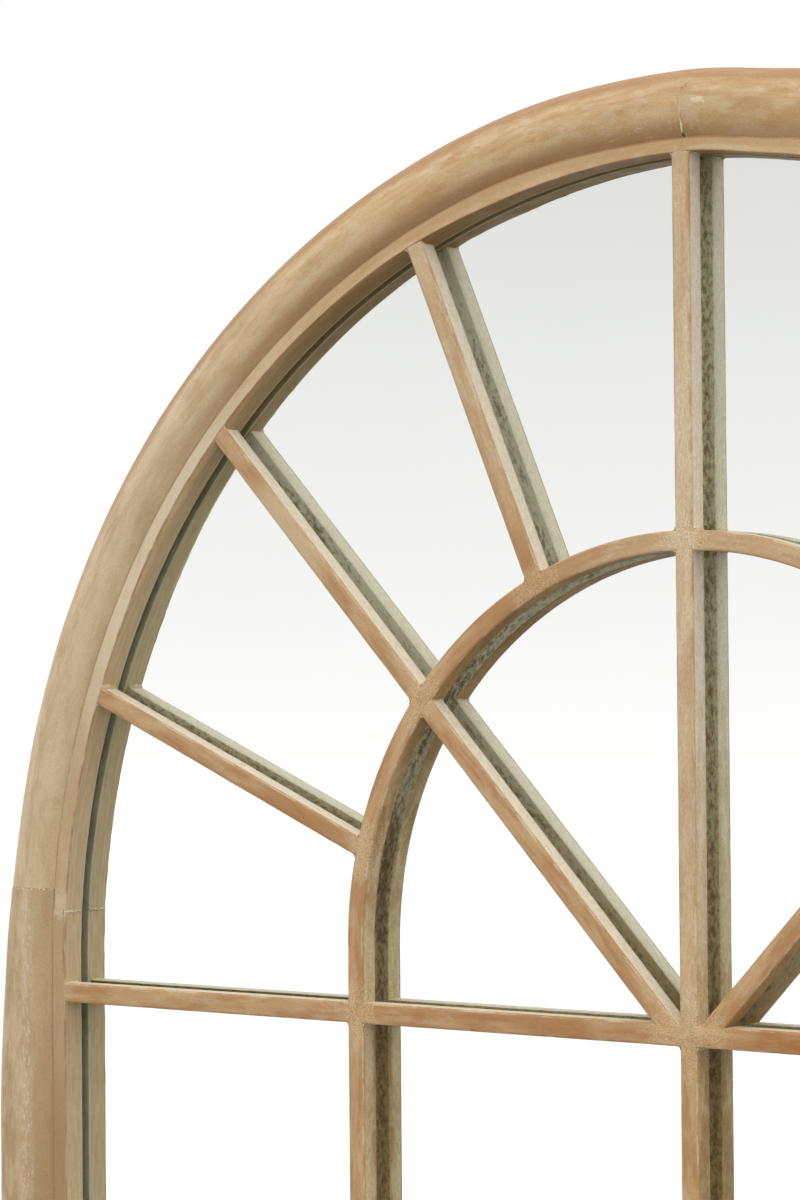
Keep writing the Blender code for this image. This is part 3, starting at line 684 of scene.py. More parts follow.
    # Painted highlight: a soft pale band along the crest of the stile's torus.
    crest_highlight = both(stile, window(across, 24 * MM, 34 * MM, 5 * MM), ease(cloud, 0.3, 0.6, 0.05, 0.3))
    finish.paint((0.60, 0.49, 0.345), crest_highlight)
    specks = both(
        stile,
        window(total_of(across, blur), 25 * MM, 29 * MM, 3.5 * MM),
        ease(reach, arch_length + 0.5, arch_length + 0.2, 0.3, 1),
        ease(mottle(grain, (5, 2.2, 3), 3, 0.7), 0.52, 0.6),
    )
    finish.paint((0.70, 0.61, 0.46), specks, 0.5)

    behind = maths(
        "MAXIMUM",
        ease(through, moulding_depth - 4 * MM, moulding_depth - 1 * MM),
        both(ease(through, lip_depth - 0.5 * MM, lip_depth + 0.2 * MM), ease(across, 40 * MM, 30 * MM)),
    )
    raw = mix(ease(streak, 0.3, 0.7), (0.36, 0.22, 0.11), (0.50, 0.34, 0.19))
    # The lip's back, seen in the mirror through the gap, is painted pale raw wood, palest down the sides:
    # partly the raw wood's own colour, partly painted light for what the glass would let into the gap.
    lip_back = both(
        ease(through, board_shoulder, lip_depth + 1 * MM),
        ease(across, glass_rebate + 0.5 * MM, glass_rebate - 0.5 * MM),
        total(ease(reach, 0.50, 0.60), ease(across, 9 * MM, 2 * MM), ease(reach, 0.16, 0.08)),
        ease(cloud, 0.35, 0.6, 0.65, 1),
    )
    raw = mix(lip_back, raw, mix(ease(reach, 0.3, 0.55), (0.80, 0.50, 0.21), (0.95, 0.84, 0.62)))
    finish.paint(raw, behind)
    shade = both(ease(speckle, 0.3, 0.7, 0.9, 1.1), ease(pore, 0.28, 0.42, 0.92, 1))
    finish.bump(total(speckle, both(cloud, 2.0)), 0.14 * MM, 0.5)
    roughness = ease(cloud, 0.3, 0.7, 0.68, 0.54)
    colour = shaded(finish.colour, shade)
    return finish.set(base_color=colour, roughness=roughness, specular_ior_level=wood_gloss)


def filler_finish():
    """Chalky filler in the joints, rubbed brown in places."""
    finish = Finish("filler")
    place = finish.coordinates()
    cloud = mottle(place, (5, 5, 5), 4, 0.65)
    speckle = mottle(place, (0.8, 0.8, 0.8), 2, 0.7)
    colour = mix(ease(cloud, 0.4, 0.6), (0.56, 0.42, 0.25), (0.74, 0.64, 0.46))
    finish.bump(total(speckle, cloud), 0.15 * MM, 0.6)
    shade = ease(speckle, 0.3, 0.7, 0.88, 1.1)
    return finish.set(base_color=shaded(colour, shade), roughness=ease(cloud, 0.3, 0.7, 0.85, 0.7))


def mirror_finish():
    finish = Finish("silvered_mirror")
    place = finish.coordinates()
    film = mottle(place, (60, 60, 60), 4, 0.6)
    tint = mix(film, (0.785, 0.855, 0.83), (0.80, 0.87, 0.845))
    return finish.set(base_color=tint, metallic=1.0, roughness=ease(film, 0.3, 0.8, 0.0, 0.012))


def raw_wood_finish():
    finish = Finish("raw_wood")
    place = finish.coordinates()
    streak = mottle(place, (1.2, 1.5, 22), 4, 0.6)
    colour = mix(ease(streak, 0.3, 0.7), (0.36, 0.22, 0.11), (0.52, 0.36, 0.20))
    finish.bump(streak, 0.2 * MM, 0.5)
    return finish.set(base_color=colour, roughness=ease(streak, 0.3, 0.7, 0.8, 0.7))


def hardboard_finish():
    finish = Finish("hardboard")
    place = finish.coordinates()
    fibre = mottle(place, (2.5, 2.5, 2.5), 5, 0.75)
    cloud = mottle(place, (70, 70, 110), 4, 0.6)
    cells = {"Vector": scaled(place, (1.4, 1.4, 1.4)), "Scale": 1}
    weave = result_of("TexVoronoi", "Distance", cells, feature="F1")
    dark = mix(ease(cloud, 0.35, 0.65), (0.135, 0.072, 0.036), (0.20, 0.115, 0.06))
    colour = mix(ease(fibre, 0.45, 0.7, 0.0, 0.5), dark, (0.30, 0.185, 0.10))
    finish.bump(total_of(fibre, weave), 0.18 * MM, 0.6)
    return finish.set(base_color=colour, roughness=ease(fibre, 0.3, 0.7, 0.9, 0.72))


def zinc_finish():
    finish = Finish("zinc")
    place = finish.coordinates()
    spangle = mottle(place, (1.8, 1.8, 1.8), 3, 0.7)
    scratch = mottle(place, (6, 0.3, 0.3), 3, 0.6)
    colour = mix(ease(spangle, 0.35, 0.65), (0.42, 0.41, 0.38), (0.58, 0.56, 0.51))
    colour = mix(ease(scratch, 0.62, 0.72, 0.0, 0.5), colour, (0.36, 0.34, 0.30))
    finish.bump(scratch, 0.04 * MM, 0.4)
    return finish.set(base_color=colour, metallic=1.0, roughness=ease(spangle, 0.3, 0.7, 0.42, 0.28))


def rubber_finish():
    finish = Finish("bumper_rubber")
    place = finish.coordinates()
    bloom = mottle(place, (5, 5, 5), 4, 0.65)
    colour = mix(ease(bloom, 0.4, 0.7), (0.022, 0.022, 0.023), (0.055, 0.053, 0.05))
    finish.bump(bloom, 0.1 * MM, 0.4)
    return finish.set(base_color=colour, roughness=ease(bloom, 0.3, 0.7, 0.82, 0.62))


def emission(tree, colour, strength=1.0):
    glow = new_node(tree, "Emission")
    feed(glow.inputs["Color"], colour)
    glow.inputs["Strength"].default_value = strength
    return glow.outputs[0]


def matt(tree, colour):
    surface = new_node(tree, "BsdfDiffuse")
    feed(surface.inputs["Color"], colour)
    return surface.outputs[0]


def in_mirror(ray):
    """1 for the rays by which the mirror shows what is before it."""
    return both(ray.outputs["Is Glossy Ray"], maths("LESS_THAN", ray.outputs["Diffuse Depth"], 0.5))


def floor_finish():
    """A pale floor that keeps the shadow and turns to the white background far out."""
    finish = Finish("studio_floor")
    tree = finish.tree
    far = ease(result_of("VectorMath", "Value", {0: finish.coordinates()}, operation="LENGTH"), *floor_fades)
    ray = new_node(tree, "LightPath")
    mirrored = in_mirror(ray)
    seen = maths("MAXIMUM", ray.outputs["Is Camera Ray"], ray.outputs["Is Transmission Ray"])
    grey, glow = matt(tree, (0.45, 0.445, 0.435)), emission(tree, (1, 1, 1), 0.55)
    near = result_of("AddShader", 0, {0: grey, 1: glow})
    white = emission(tree, mix(mirrored, (1, 1, 1), lowest_reflection))
    shown = result_of("MixShader", 0, {0: far, 1: near, 2: white})
    lit = matt(tree, (0.24, 0.235, 0.225))
    choice = result_of("MixShader", 0, {0: maths("MAXIMUM", seen, mirrored), 1: lit, 2: shown})
    feed(tree.nodes["Material Output"].inputs["Surface"], choice)
    tree.nodes.remove(finish.shader)
    return finish.material


limed_bar = bar_finish()
limed_moulding = moulding_finish()
filler = filler_finish()
silvered_mirror = mirror_finish()
raw_wood = raw_wood_finish()
hardboard = hardboard_finish()
zinc = zinc_finish()
bumper_rubber = rubber_finish()


# Shapes


def round_points(centre, radii, start, end, steps):
    """Points along an arc of a circle or an ellipse, both ends included."""
    angles = [start + (end - start) * step / steps for step in range(steps + 1)]
    return [(centre[0] + radii[0] * math.cos(a), centre[1] + radii[1] * math.sin(a)) for a in angles]


def divided(start, end, steps):
    """Points on a straight line from start up to, but not at, end."""
    return [
        (start[0] + (end[0] - start[0]) * step / steps, start[1] + (end[1] - start[1]) * step / steps)
        for step in range(steps)
    ]


def moulding_section():
    """The frame's section, as points of (distance out from the sight edge, depth behind the bars' front)."""
    run = torus_crest - torus_start
    drop = torus_rise + valley_depth
    inner_radius = (run * run + drop * drop) / (2 * drop)
    inner_reach = math.asin(run / inner_radius)
    inner_side = round_points(
        (torus_crest, inner_radius - torus_rise),
        (inner_radius, inner_radius),
        -quarter_turn - inner_reach,
        -quarter_turn,
        torus_steps,
    )
    outer_side = round_points(
        (torus_crest, torus_shoulder_drop - torus_rise),
        (moulding_width - torus_crest, torus_shoulder_drop),
        -quarter_turn,
        0,
        torus_steps,
    )
    strip_edge = (sight_strip_width, 0)
    beside_edge = (sight_strip_width + 0.1 * MM, 0.02 * MM)
    side_end = (moulding_width, torus_shoulder_drop - torus_rise)
    back_outer = (moulding_width, moulding_depth)
    return [
        *divided((sight_edge_ease, 0), strip_edge, strip_steps),
        strip_edge,
        beside_edge,
        *inner_side,
        *outer_side[1:-1],
        *divided(side_end, back_outer, 6),
        back_outer,
        (board_rebate, moulding_depth),
        (board_rebate, board_shoulder),
        (glass_rebate, board_shoulder),
        (glass_rebate, lip_depth),
        (sight_edge_ease, lip_depth),
        *divided((0, lip_depth - sight_edge_ease), (0, sight_edge_ease), 8),
        (0, sight_edge_ease),
    ]


def corner_arcs(half, depth, front, back):
    """A section's rounded corners, in order; front and back are each a radius and how many steps it has."""
    corners = (
        (-1, False, front, math.pi),
        (1, False, front, -quarter_turn),
        (1, True, back, 0),
        (-1, True, back, quarter_turn),
    )
    arcs = []
    for side, behind, (radius, steps), start in corners:
        middle = (side * (half - radius), depth - radius if behind else radius)
        arcs.append(round_points(middle, (radius, radius), start, start + quarter_turn, steps))
    return arcs


def bar_section():
    """A glazing bar's section, as (across, depth behind the bars' front), with eased edges."""
    front_left, front_right, back_right, back_left = corner_arcs(
        bar_width / 2, bar_depth, (bar_edge_radius, front_edge_steps), (bar_back_radius, back_edge_steps)
    )
    return [
        *front_left[:-1],
        *divided(front_left[-1], front_right[0], 4),
        *front_right[:-1],
        *divided(front_right[-1], back_right[0], 4),
        *back_right[:-1],
        *divided(back_right[-1], back_left[0], 5),
        *back_left[:-1],
        *divided(back_left[-1], front_left[0], 4),
    ]


def pulled(shape, face, way):
    """Extrudes a face, and gives the points that moved."""
    grown = bmesh.ops.extrude_face_region(shape, geom=[face])["geom"]
    moved = [item for item in grown if isinstance(item, bmesh.types.BMVert)]
    bmesh.ops.translate(shape, vec=way, verts=moved)
    return moved


def stick(section, length, step=station):
    """A straight length of moulding in its own places: across, through, and along from 0 to length."""
    shape = bmesh.new()
    end_face = shape.faces.new([shape.verts.new((across, through, 0)) for across, through in section])
    pulled(shape, end_face, (0, 0, length))
    lengthwise = [edge for edge in shape.edges if edge.verts[0].co.z != edge.verts[1].co.z]
    bmesh.ops.subdivide_edges(shape, edges=lengthwise, cuts=round(length / step) - 1)
    return shape


def laid(shape, place, on_right=False):
    """Bends a stick into place, mirrored for the right, and gives the grain places that its points had."""
    side = -1 if on_right else 1
    grain = [(side * vert.co.z, vert.co.x, vert.co.y) for vert in shape.verts]
    for vert in shape.verts:
        x, y, z = place(vert.co.x, vert.co.y, vert.co.z)
        vert.co = (side * x, y, z)
    bmesh.ops.recalc_face_normals(shape, faces=shape.faces[:])
    return grain


def place_on_body(piece, nodes, body="frame"):
    if nodes:
        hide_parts(*nodes)
    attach(piece, body)


def added(name, data):
    piece = bpy.data.objects.new(name, data)
    bpy.context.scene.collection.objects.link(piece)
    return piece


def finished_piece(name, shape, material, crease=wood_crease, grain=None):
    """Makes the object of a shape; an edge that turns by more than crease stays sharp."""
    bmesh.ops.recalc_face_normals(shape, faces=shape.faces[:])
    mesh = bpy.data.meshes.new(name)
    shape.to_mesh(mesh)
    shape.free()
    if grain:
        places = mesh.attributes.new("grain", "FLOAT_VECTOR", "POINT")
        places.data.foreach_set("vector", [value for place in grain for value in place])
    mesh.shade_smooth()
    mesh.set_sharp_from_angle(angle=crease)
    mesh.materials.append(material)
    return added(name, mesh)


def eased(value, start, end, low=0.0, high=1.0):
    """A smooth step from low at start to high at end."""
    share = min(max((value - start) / (end - start), 0), 1)
    return low + (high - low) * share * share * (3 - 2 * share)


def wave(place, size):
    """Smooth noise about 0 whose swells have the given size."""
    return noise.noise(Vector(place) / size)


def inside_box(point):
    low, high = cad_box
    return Vector(min(max(value, least), most) for value, least, most in zip(point, low, high))


def hand_worked(shape, grain, chips):
    """Moves the surface a little, as sanding by hand leaves it; chips gives each place its own loss."""
    shape.normal_update()
    moves = []
    for vert, place in zip(shape.verts, grain):
        swell = swell_height * wave(place, swell_size) + ripple_height * wave(place, ripple_size)
        moves.append(vert.normal * (swell - chips(place)))
    for vert, move in zip(shape.verts, moves):
        vert.co = inside_box(vert.co + move)


# The frame


def moulding_chips(place):
    """Small losses along the sight edge, at its front and its back."""
    along, across, through = place
    near_front = max(0, 1 - math.hypot(across, through) / sight_chip_reach)
    near_back = max(0, 1 - math.hypot(across, through - lip_depth) / sight_chip_reach)
    loss = max(0, wave((along, 0, 3), 9 * MM) - 0.15) + 0.3 * max(0, wave((along, 2, 0), 2.5 * MM))
    return sight_chip_depth * loss * (near_front + 0.5 * near_back)


def worn_back(turn):
    """How far the sight edge is sanded back, at an angle from the crown."""
    return sight_wear * eased(turn, *wear_comes) * eased(turn, *wear_goes)


def drifted(across, through, turn):
    """The fillet is narrower at the crown and wider down the sides, and the sight edge is worn back."""
    worn = worn_back(turn) * eased(across, 7 * MM, 0) * eased(through, 4 * MM, 0)
    if through > 8 * MM:
        return across + worn
    drift = eased(turn, *drift_comes, crown_drift, side_drift)
    return across + worn + drift * eased(across, 1 * MM, 7.5 * MM) * eased(across, 26 * MM, 9.5 * MM)


def narrowed(across, turn, height):
    """Draws a place beyond the torus's crest in, to the width that the moulding has there."""
    if across <= torus_crest:
        return across
    width = eased(turn, 0, crown_turn, crown_moulding_width, arch_moulding_width)
    width += (moulding_width - arch_moulding_width) * eased(height, taper_top, taper_foot)
    return torus_crest + (across - torus_crest) / (moulding_width - torus_crest) * (width - torus_crest)


def seam_angle(across):
    """How far below the crown, as an angle, the arch's end lies."""
    on_strip = across < sight_strip_width + 0.05 * MM
    height = strip_seam_height if on_strip else torus_seam_height
    radius = sight_radius + narrowed(across, quarter_turn, height)
    return quarter_turn - math.asin((height - frame_arc_height) / radius)


def round_frame(across, through, angle):
    """A place on the frame's arc, at an angle from the crown to the left."""
    height = frame_arc_height + (sight_radius + across) * math.cos(angle)
    radius = sight_radius + drifted(narrowed(across, angle, height), through, angle)
    return (-radius * math.sin(angle), bar_front + through, frame_arc_height + radius * math.cos(angle))


def place_on_arch(across, through, along):
    """From the crown to the stepped seam, where the front lies a little lower than the stile's."""
    sunk = seam_step * eased(along, arch_length - 30 * MM, arch_length) * eased(through, lip_depth, 8 * MM)
    return round_frame(across, through + sunk, along / arch_length * seam_angle(across))


def place_on_stile(across, through, along):
    """From the stepped seam round to the springing of the arc, and down to the mitre."""
    seam = seam_angle(across)
    if along < stile_turn:
        return round_frame(across, through, seam + (quarter_turn - seam) * along / stile_turn)
    foot = moulding_width - across
    height = frame_arc_height + (foot - frame_arc_height) * (along - stile_turn) / frame_arc_height
    across = drifted(narrowed(across, quarter_turn, height), through, quarter_turn)
    return (-sight_radius - across, bar_front + through, height)


def place_on_rail(across, through, along):
    """From the left mitre to the right one."""
    across = drifted(across, through, quarter_turn)
    share = 2 * along / rail_length - 1
    return (share * (sight_radius + across), bar_front + through, moulding_width - across)


rail_length = 2 * outer_radius


def in_rebates(across, through):
    hair = 0.01 * MM
    return through > lip_depth - hair and glass_rebate <= across + hair and across < board_rebate + 1 * MM


def drop_beside_crown(shape, grain):
    """The right half of the arch sits a little low where it meets the left; its rebates follow the glass."""
    for vert, (_, across, through) in zip(shape.verts, grain):
        if in_rebates(across, through):
            continue
        turn = math.atan2(vert.co.x, vert.co.z - frame_arc_height)
        drop = crown_drop * eased(turn, *drop_comes) * eased(turn, *drop_goes)
        vert.co.x -= drop * math.sin(turn)
        vert.co.z -= drop * math.cos(turn)


def frame_piece(part, side_name, length, place, starts):
    """One piece of the frame; starts is the grain place at its first end."""
    name = part + (f"_{side_name}" if side_name else "")
    shape = stick(moulding_section(), length)
    grain = laid(shape, place, side_name == "right")
    sign = -1 if side_name == "right" else 1
    grain = [(along + sign * starts, across, through) for along, across, through in grain]
    if name == "arch_right":
        drop_beside_crown(shape, grain)
    hand_worked(shape, grain, moulding_chips)
    piece = finished_piece(name + "_moulding", shape, limed_moulding, grain=grain)
    place_on_body(piece, [name])


for side_name in SIDES:
    frame_piece("arch", side_name, arch_length, place_on_arch, 0)
    frame_piece("stile", side_name, stile_length, place_on_stile, arch_length)
frame_piece("bottom_rail", None, rail_length, place_on_rail, rail_grain)


# The glazing bars


def bar_chips(place):
    """A rough back and small losses on the front edges."""
    along, across, through = place
    on_back = through > bar_depth - 0.3 * MM
    rough = bar_back_roughness * abs(wave((along, across, 7), 1.6 * MM)) if on_back else 0
    off_edge = abs(abs(across) - bar_width / 2)
    near_edge = max(0, 1 - off_edge / bar_chip_reach) * max(0, 1 - through / bar_chip_reach)
    return rough + bar_chip_depth * near_edge * max(0, wave((along, across, 11), 7 * MM) - 0.1)


def bar_piece(name, node, shape, grain):
    hand_worked(shape, grain, bar_chips)
    piece = finished_piece(name, shape, limed_bar, grain=grain)
    place_on_body(piece, [node])


def straight_bar(name, start, end, setback, growth=0.0):
    """A bar between two points of (x, z) on its axis; growth raises its upper side."""
    start, end = Vector(start), Vector(end)
    way = (end - start).normalized()

    def place(across, through, along):
        x, z = start + way * along + Vector((way.y, -way.x)) * across
        return (x, bar_front + setback + through, z + growth * (0.5 - across / bar_width))

    shape = stick(bar_section(), (end - start).length)
    grain = laid(shape, place)
    offset = bar_grain_spacing * len(bars_made)
    grain = [(along + offset, across, through) for along, across, through in grain]
    bar_piece(name + "_bar", name, shape, grain)
    bars_made.append(name)


bars_made = []


def curved_bar(name, on_right):
    """One quarter of the inner arch, from its crown outwards."""

    def place(across, through, along):
        angle = along / inner_arch_radius
        radius = inner_arch_radius + across
        height = inner_arc_height + radius * math.cos(angle)
        return (-radius * math.sin(angle), bar_front + bar_setback + through, height)

    shape = stick(bar_section(), quarter_turn * inner_arch_radius)
    grain = laid(shape, place, on_right)
    grain = [(along + inner_arch_grain, across, through) for along, across, through in grain]
    bar_piece(name + "_bar", name, shape, grain)


def along_spoke(slope, height, radius, centre_height):
    """How far along a spoke's axis, from the centre line, it meets a circle about the centre line."""
    below = springing_height + height - centre_height
    return -below * math.sin(slope) + math.sqrt(radius**2 - (below * math.cos(slope)) ** 2)


def spoke_point(slope, height, along, side):
    return (side * along * math.cos(slope), springing_height + height + along * math.sin(slope))


def spoke_crossing(slope, height, radius, centre_height, side):
    """Where a spoke's axis meets a circle about the centre line."""
    return spoke_point(slope, height, along_spoke(slope, height, radius, centre_height), side)


rail_top = moulding_width - bar_into_frame
reach = sight_radius + bar_into_frame
straight_bar("centre_bar", (0, rail_top), (0, frame_arc_height + reach), bar_setback)
for name, height in zip(("springing_bar", "lower_bar_1", "lower_bar_2"), cross_bar_heights):
    growth = springing_bar_growth if name == "springing_bar" else 0
    straight_bar(name, (-reach, height), (reach, height), bar_setback + crossing_setback, growth)
for side_name, side in SIDES.items():
    curved_bar(f"inner_arch_{side_name}", side > 0)
    x = side * inner_arch_radius
    straight_bar(f"inner_leg_{side_name}", (x, rail_top), (x, inner_arc_height), bar_setback)
    for spoke_name, (slope, height) in spokes.items():
        if spoke_name == "long":
            foot = -height / math.sin(slope)
        else:
            foot = along_spoke(slope, height, inner_arch_radius, inner_arc_height)
        head = along_spoke(slope, height, reach, frame_arc_height)
        straight_bar(
            f"{spoke_name}_spoke_{side_name}",
            spoke_point(slope, height, foot, side),
            spoke_point(slope, height, head, side),
            bar_setback + 2 * crossing_setback,
        )


# Filler and caulk


def front_depth(across):
    """How deep behind the bars' front the moulding's face lies, at a distance out from the sight edge."""
    face = [point for point in moulding_section() if point[1] < torus_shoulder_drop]
    before, after = max(p for p in face if p[0] <= across), min(p for p in face if p[0] > across)
    share = (across - before[0]) / (after[0] - before[0])
    return before[1] + (after[1] - before[1]) * share


def bead(name, length, radius, centre, flatness=1.0):
    """A thin uneven bead of filler; centre gives its middle, and the two ways across it, at a place along."""
    shape = stick(round_points((0, 0), (radius, radius), 0, 1.75 * math.pi, 7), length, fine_station)

    def place(across, through, along):
        middle, first, second = centre(along)
        swell = 0.9 * wave((along, length, radius), 2.3 * MM)
        lump = 0.75 + swell + 0.5 * wave((along, across, through), 0.8 * MM)
        ends = math.sqrt(max(0.02, 1 - (2 * along / length - 1) ** 4))
        return Vector(middle) + lump * ends * (across * Vector(first) + flatness * through * Vector(second))

    laid(shape, place)
    for vert in shape.verts:
        vert.co = inside_box(vert.co)
    piece = finished_piece(name, shape, filler, bead_crease)
    place_on_body(piece, [])


def crown_filler_middle(along):
    across = crown_bead_start + along
    wander = 1.1 * MM * wave((along, 5, 1), 6 * MM) + 0.5 * MM * wave((along, 1, 5), 1.7 * MM)
    lean = eased(across, *crown_seam_lean)
    height = frame_arc_height + sight_radius + drifted(across, 0, 0)
    middle = (lean + wander, bar_front + front_depth(across) + crown_bead_sunk, height)
    return middle, (1, 0, 0), (0, 1, 0)


bead("crown_filler", crown_bead_length, crown_bead_radius, crown_filler_middle, crown_bead_flatness)
for side_name, side in SIDES.items():

    def shoulder_caulk_middle(along, side=side):
        turn = seam_angle(0) + caulk_past_seam / sight_radius
        out = Vector((side * math.sin(turn), 0, math.cos(turn)))
        place = Vector((0, bar_front + caulk_front + along, frame_arc_height)) + sight_radius * out
        return place, out, (side * math.cos(turn), 0, -math.sin(turn))

    bead(f"shoulder_caulk_{side_name}", lip_depth - caulk_shortness, caulk_radius, shoulder_caulk_middle)


def corner_filler(shape, corner, first, second, reach):
    """A fillet of filler between two faces; corner, first and second are (x, z)."""
    corner, first, second = Vector(corner), Vector(first), Vector(second)
    bulge = corner + (first + second) * reach * fillet_bulge
    outline = [corner]
    for share in (0, 0.25, 0.5, 0.75, 1):
        start, end = corner + first * reach, corner + second * reach
        outline.append((1 - share) ** 2 * start + 2 * share * (1 - share) * bulge + share**2 * end)
    front = bar_front + fillet_front
    depth = bar_depth - fillet_shortness
    face = shape.faces.new([shape.verts.new((x, front, z)) for x, z in outline])
    moved = pulled(shape, face, (0, depth, 0))
    lengthwise = [edge for vert in moved for edge in vert.link_edges if edge.calc_length() > 0.9 * depth]
    bmesh.ops.subdivide_edges(shape, edges=lengthwise, cuts=5)


def meeting(arms):
    """The corners between the arms of a joint. An arm is a place on its axis, its way and its half width."""
    arms = sorted(arms, key=lambda arm: math.atan2(arm[1][1], arm[1][0]))
    for arm, following in zip(arms, arms[1:] + arms[:1]):
        (start, way, half), (next_start, next_way, next_half) = arm, following
        way, next_way = Vector(way).normalized(), Vector(next_way).normalized()
        turn = way.angle_signed(next_way)
        opening = -turn % (2 * math.pi)
        if opening > widest_filled:
            continue
        start = Vector(start) + half * Vector((-way.y, way.x))
        next_start = Vector(next_start) - next_half * Vector((-next_way.y, next_way.x))
        along = (next_start - start).cross(next_way) / way.cross(next_way)
        yield start + along * way, way, next_way


def fill_corners(name, joints):
    shape = bmesh.new()
    for arms in joints:
        for corner, first, second in meeting(arms):
            reach = (1.5 + 1.1 * wave((corner.x, 3, corner.y), 11 * MM)) * MM
            before = len(shape.verts)
            corner_filler(shape, corner, first, second, reach)
            shape.verts.ensure_lookup_table()
            for vert in shape.verts[before:]:
                away = Vector((vert.co.x, vert.co.z)) - corner
                vert.co.x, vert.co.z = corner + away * (1 + 0.6 * wave(vert.co, 1.7 * MM))
    piece = finished_piece(name, shape, filler, fillet_crease)
    place_on_body(piece, [])


half_bar = bar_width / 2
UP, DOWN, RIGHT, LEFT = (0, 1), (0, -1), (1, 0), (-1, 0)


def crossing(x, z, *ways):
    return [((x, z), way, half_bar) for way in ways]


def against_wall(place, way, wall):
    """A bar's end at the frame: the wall runs both ways along its own line."""
    return [(place, way, half_bar), (place, wall, 0), (place, (-wall[0], -wall[1]), 0)]


hub = crossing(0, springing_height, UP, DOWN, LEFT, RIGHT)
arch_joints = [crossing(0, inner_arc_height + inner_arch_radius, UP, DOWN, LEFT, RIGHT)]
wall_joints = [
    against_wall((0, frame_arc_height + sight_radius), DOWN, RIGHT),
    against_wall((0, moulding_width), UP, RIGHT),
]
lower_joints = []
for side in SIDES.values():
    x = side * inner_arch_radius
    wall_joints.append(against_wall((x, moulding_width), UP, RIGHT))
    for height in cross_bar_heights:
        lower_joints.append(crossing(x, height, UP, DOWN, LEFT, RIGHT))
        wall_joints.append(against_wall((side * sight_radius, height), (-side, 0), UP))
    for spoke_name, (slope, height) in spokes.items():
        way = (side * math.cos(slope), math.sin(slope))
        if spoke_name == "long":
            hub.append(((0, springing_height + height), way, half_bar))
        foot = spoke_crossing(slope, height, inner_arch_radius, inner_arc_height, side)
        out = Vector((foot[0], foot[1] - inner_arc_height)).normalized()
        arms = [(foot, way, half_bar), (foot, (-out.y, out.x), half_bar), (foot, (out.y, -out.x), half_bar)]
        if spoke_name == "long":
            arms.append((foot, (-way[0], -way[1]), half_bar))
        arch_joints.append(arms)
        sight_edge = sight_radius + worn_back(quarter_turn - slope)
        head = spoke_crossing(slope, height, sight_edge, frame_arc_height, side)
        out = Vector((head[0], head[1] - frame_arc_height)).normalized()
        wall_joints.append(against_wall(head, (-way[0], -way[1]), (-out.y, out.x)))
for height in lower_bar_heights:
    lower_joints.append(crossing(0, height, UP, DOWN, LEFT, RIGHT))

fill_corners("hub_filler", [hub])
fill_corners("inner_arch_filler", arch_joints)
fill_corners("cross_bar_filler", lower_joints)
fill_corners("frame_filler", wall_joints)


# The mirror plate


def mirror_piece():
    """The round-headed plate behind the bars."""
    radius, foot = sight_radius + glass_lap, moulding_width - glass_lap
    shape = bmesh.new()
    centre = Vector((0, mirror_face, frame_arc_height))
    corner = shape.verts.new((-radius, mirror_face, frame_arc_height))
    turned = bmesh.ops.spin(
        shape, geom=[corner], cent=centre, axis=(0, 1, 0), angle=math.pi, steps=plate_steps
    )["geom_last"]
    last = next(item for item in turned if isinstance(item, bmesh.types.BMVert))
    feet = [shape.verts.new((side * radius, mirror_face, foot)) for side in (1, -1)]
    for pair in ((last, feet[0]), feet, (feet[1], corner)):
        shape.edges.new(pair)
    face = bmesh.ops.contextual_create(shape, geom=shape.edges[:])["faces"][0]
    pulled(shape, face, (0, mirror_back - mirror_face, 0))
    piece = finished_piece("mirror_plate", shape, silvered_mirror)
    place_on_body(piece, ["mirror_glass"])


mirror_piece()


# Fittings on the back


def turned_piece(name, profile, centre, steps, material, reshaped=None):
    """A profile of (radius, height) spun about an axis that points out of the back."""
    shape = bmesh.new()
    points = [shape.verts.new((radius, height, 0)) for radius, height in profile]
    edges = [shape.edges.new(pair) for pair in zip(points, points[1:])]
    bmesh.ops.spin(
        shape,
        geom=points + edges,
        cent=(0, 0, 0),
        axis=(0, 1, 0),
        angle=2 * math.pi,
        steps=steps,
        use_merge=True,
    )
    bmesh.ops.remove_doubles(shape, verts=shape.verts[:], dist=0.002 * MM)
    for vert in shape.verts:
        if reshaped:
            vert.co = reshaped(vert.co)
        vert.co += Vector(centre)
    return finished_piece(name, shape, material, fitting_crease)


def screw_piece(node, head, turn):
    """A pan head screw with a cross recess and a threaded shank; turn is how its recess came to rest."""
    head_radius, head_height, shank_radius = head
    low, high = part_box(node)
    shank_length = high[1] - head_height - low[1]
    centre = ((low[0] + high[0]) / 2, high[1] - head_height, (low[2] + high[2]) / 2)
    threads = []
    for step in range(thread_steps + 1):
        radius = shank_radius * (thread_crest if step % 2 else thread_root)
        threads.append((radius, -shank_length * (thread_start - thread_run * step / thread_steps)))
    dome = round_points((0, 0), (head_radius, head_height), 0, quarter_turn, 26)
    profile = [(0, -shank_length), *threads, (shank_radius * screw_neck, 0), *dome[:-1], (0, head_height)]

    def recessed(place):
        across = abs(place.x * math.cos(turn) + place.z * math.sin(turn))
        along = abs(place.z * math.cos(turn) - place.x * math.sin(turn))
        arm = max(eased(off, *(share * head_radius for share in recess_arm)) for off in (across, along))
        inside = eased(math.hypot(place.x, place.z), *(share * head_radius for share in recess_reach))
        sunk = recess_depth * head_height * arm * inside if place.y > 0 else 0
        return place - Vector((0, sunk, 0))

    piece = turned_piece(node + "_turned", profile, centre, screw_steps, zinc, recessed)
    place_on_body(piece, [node])


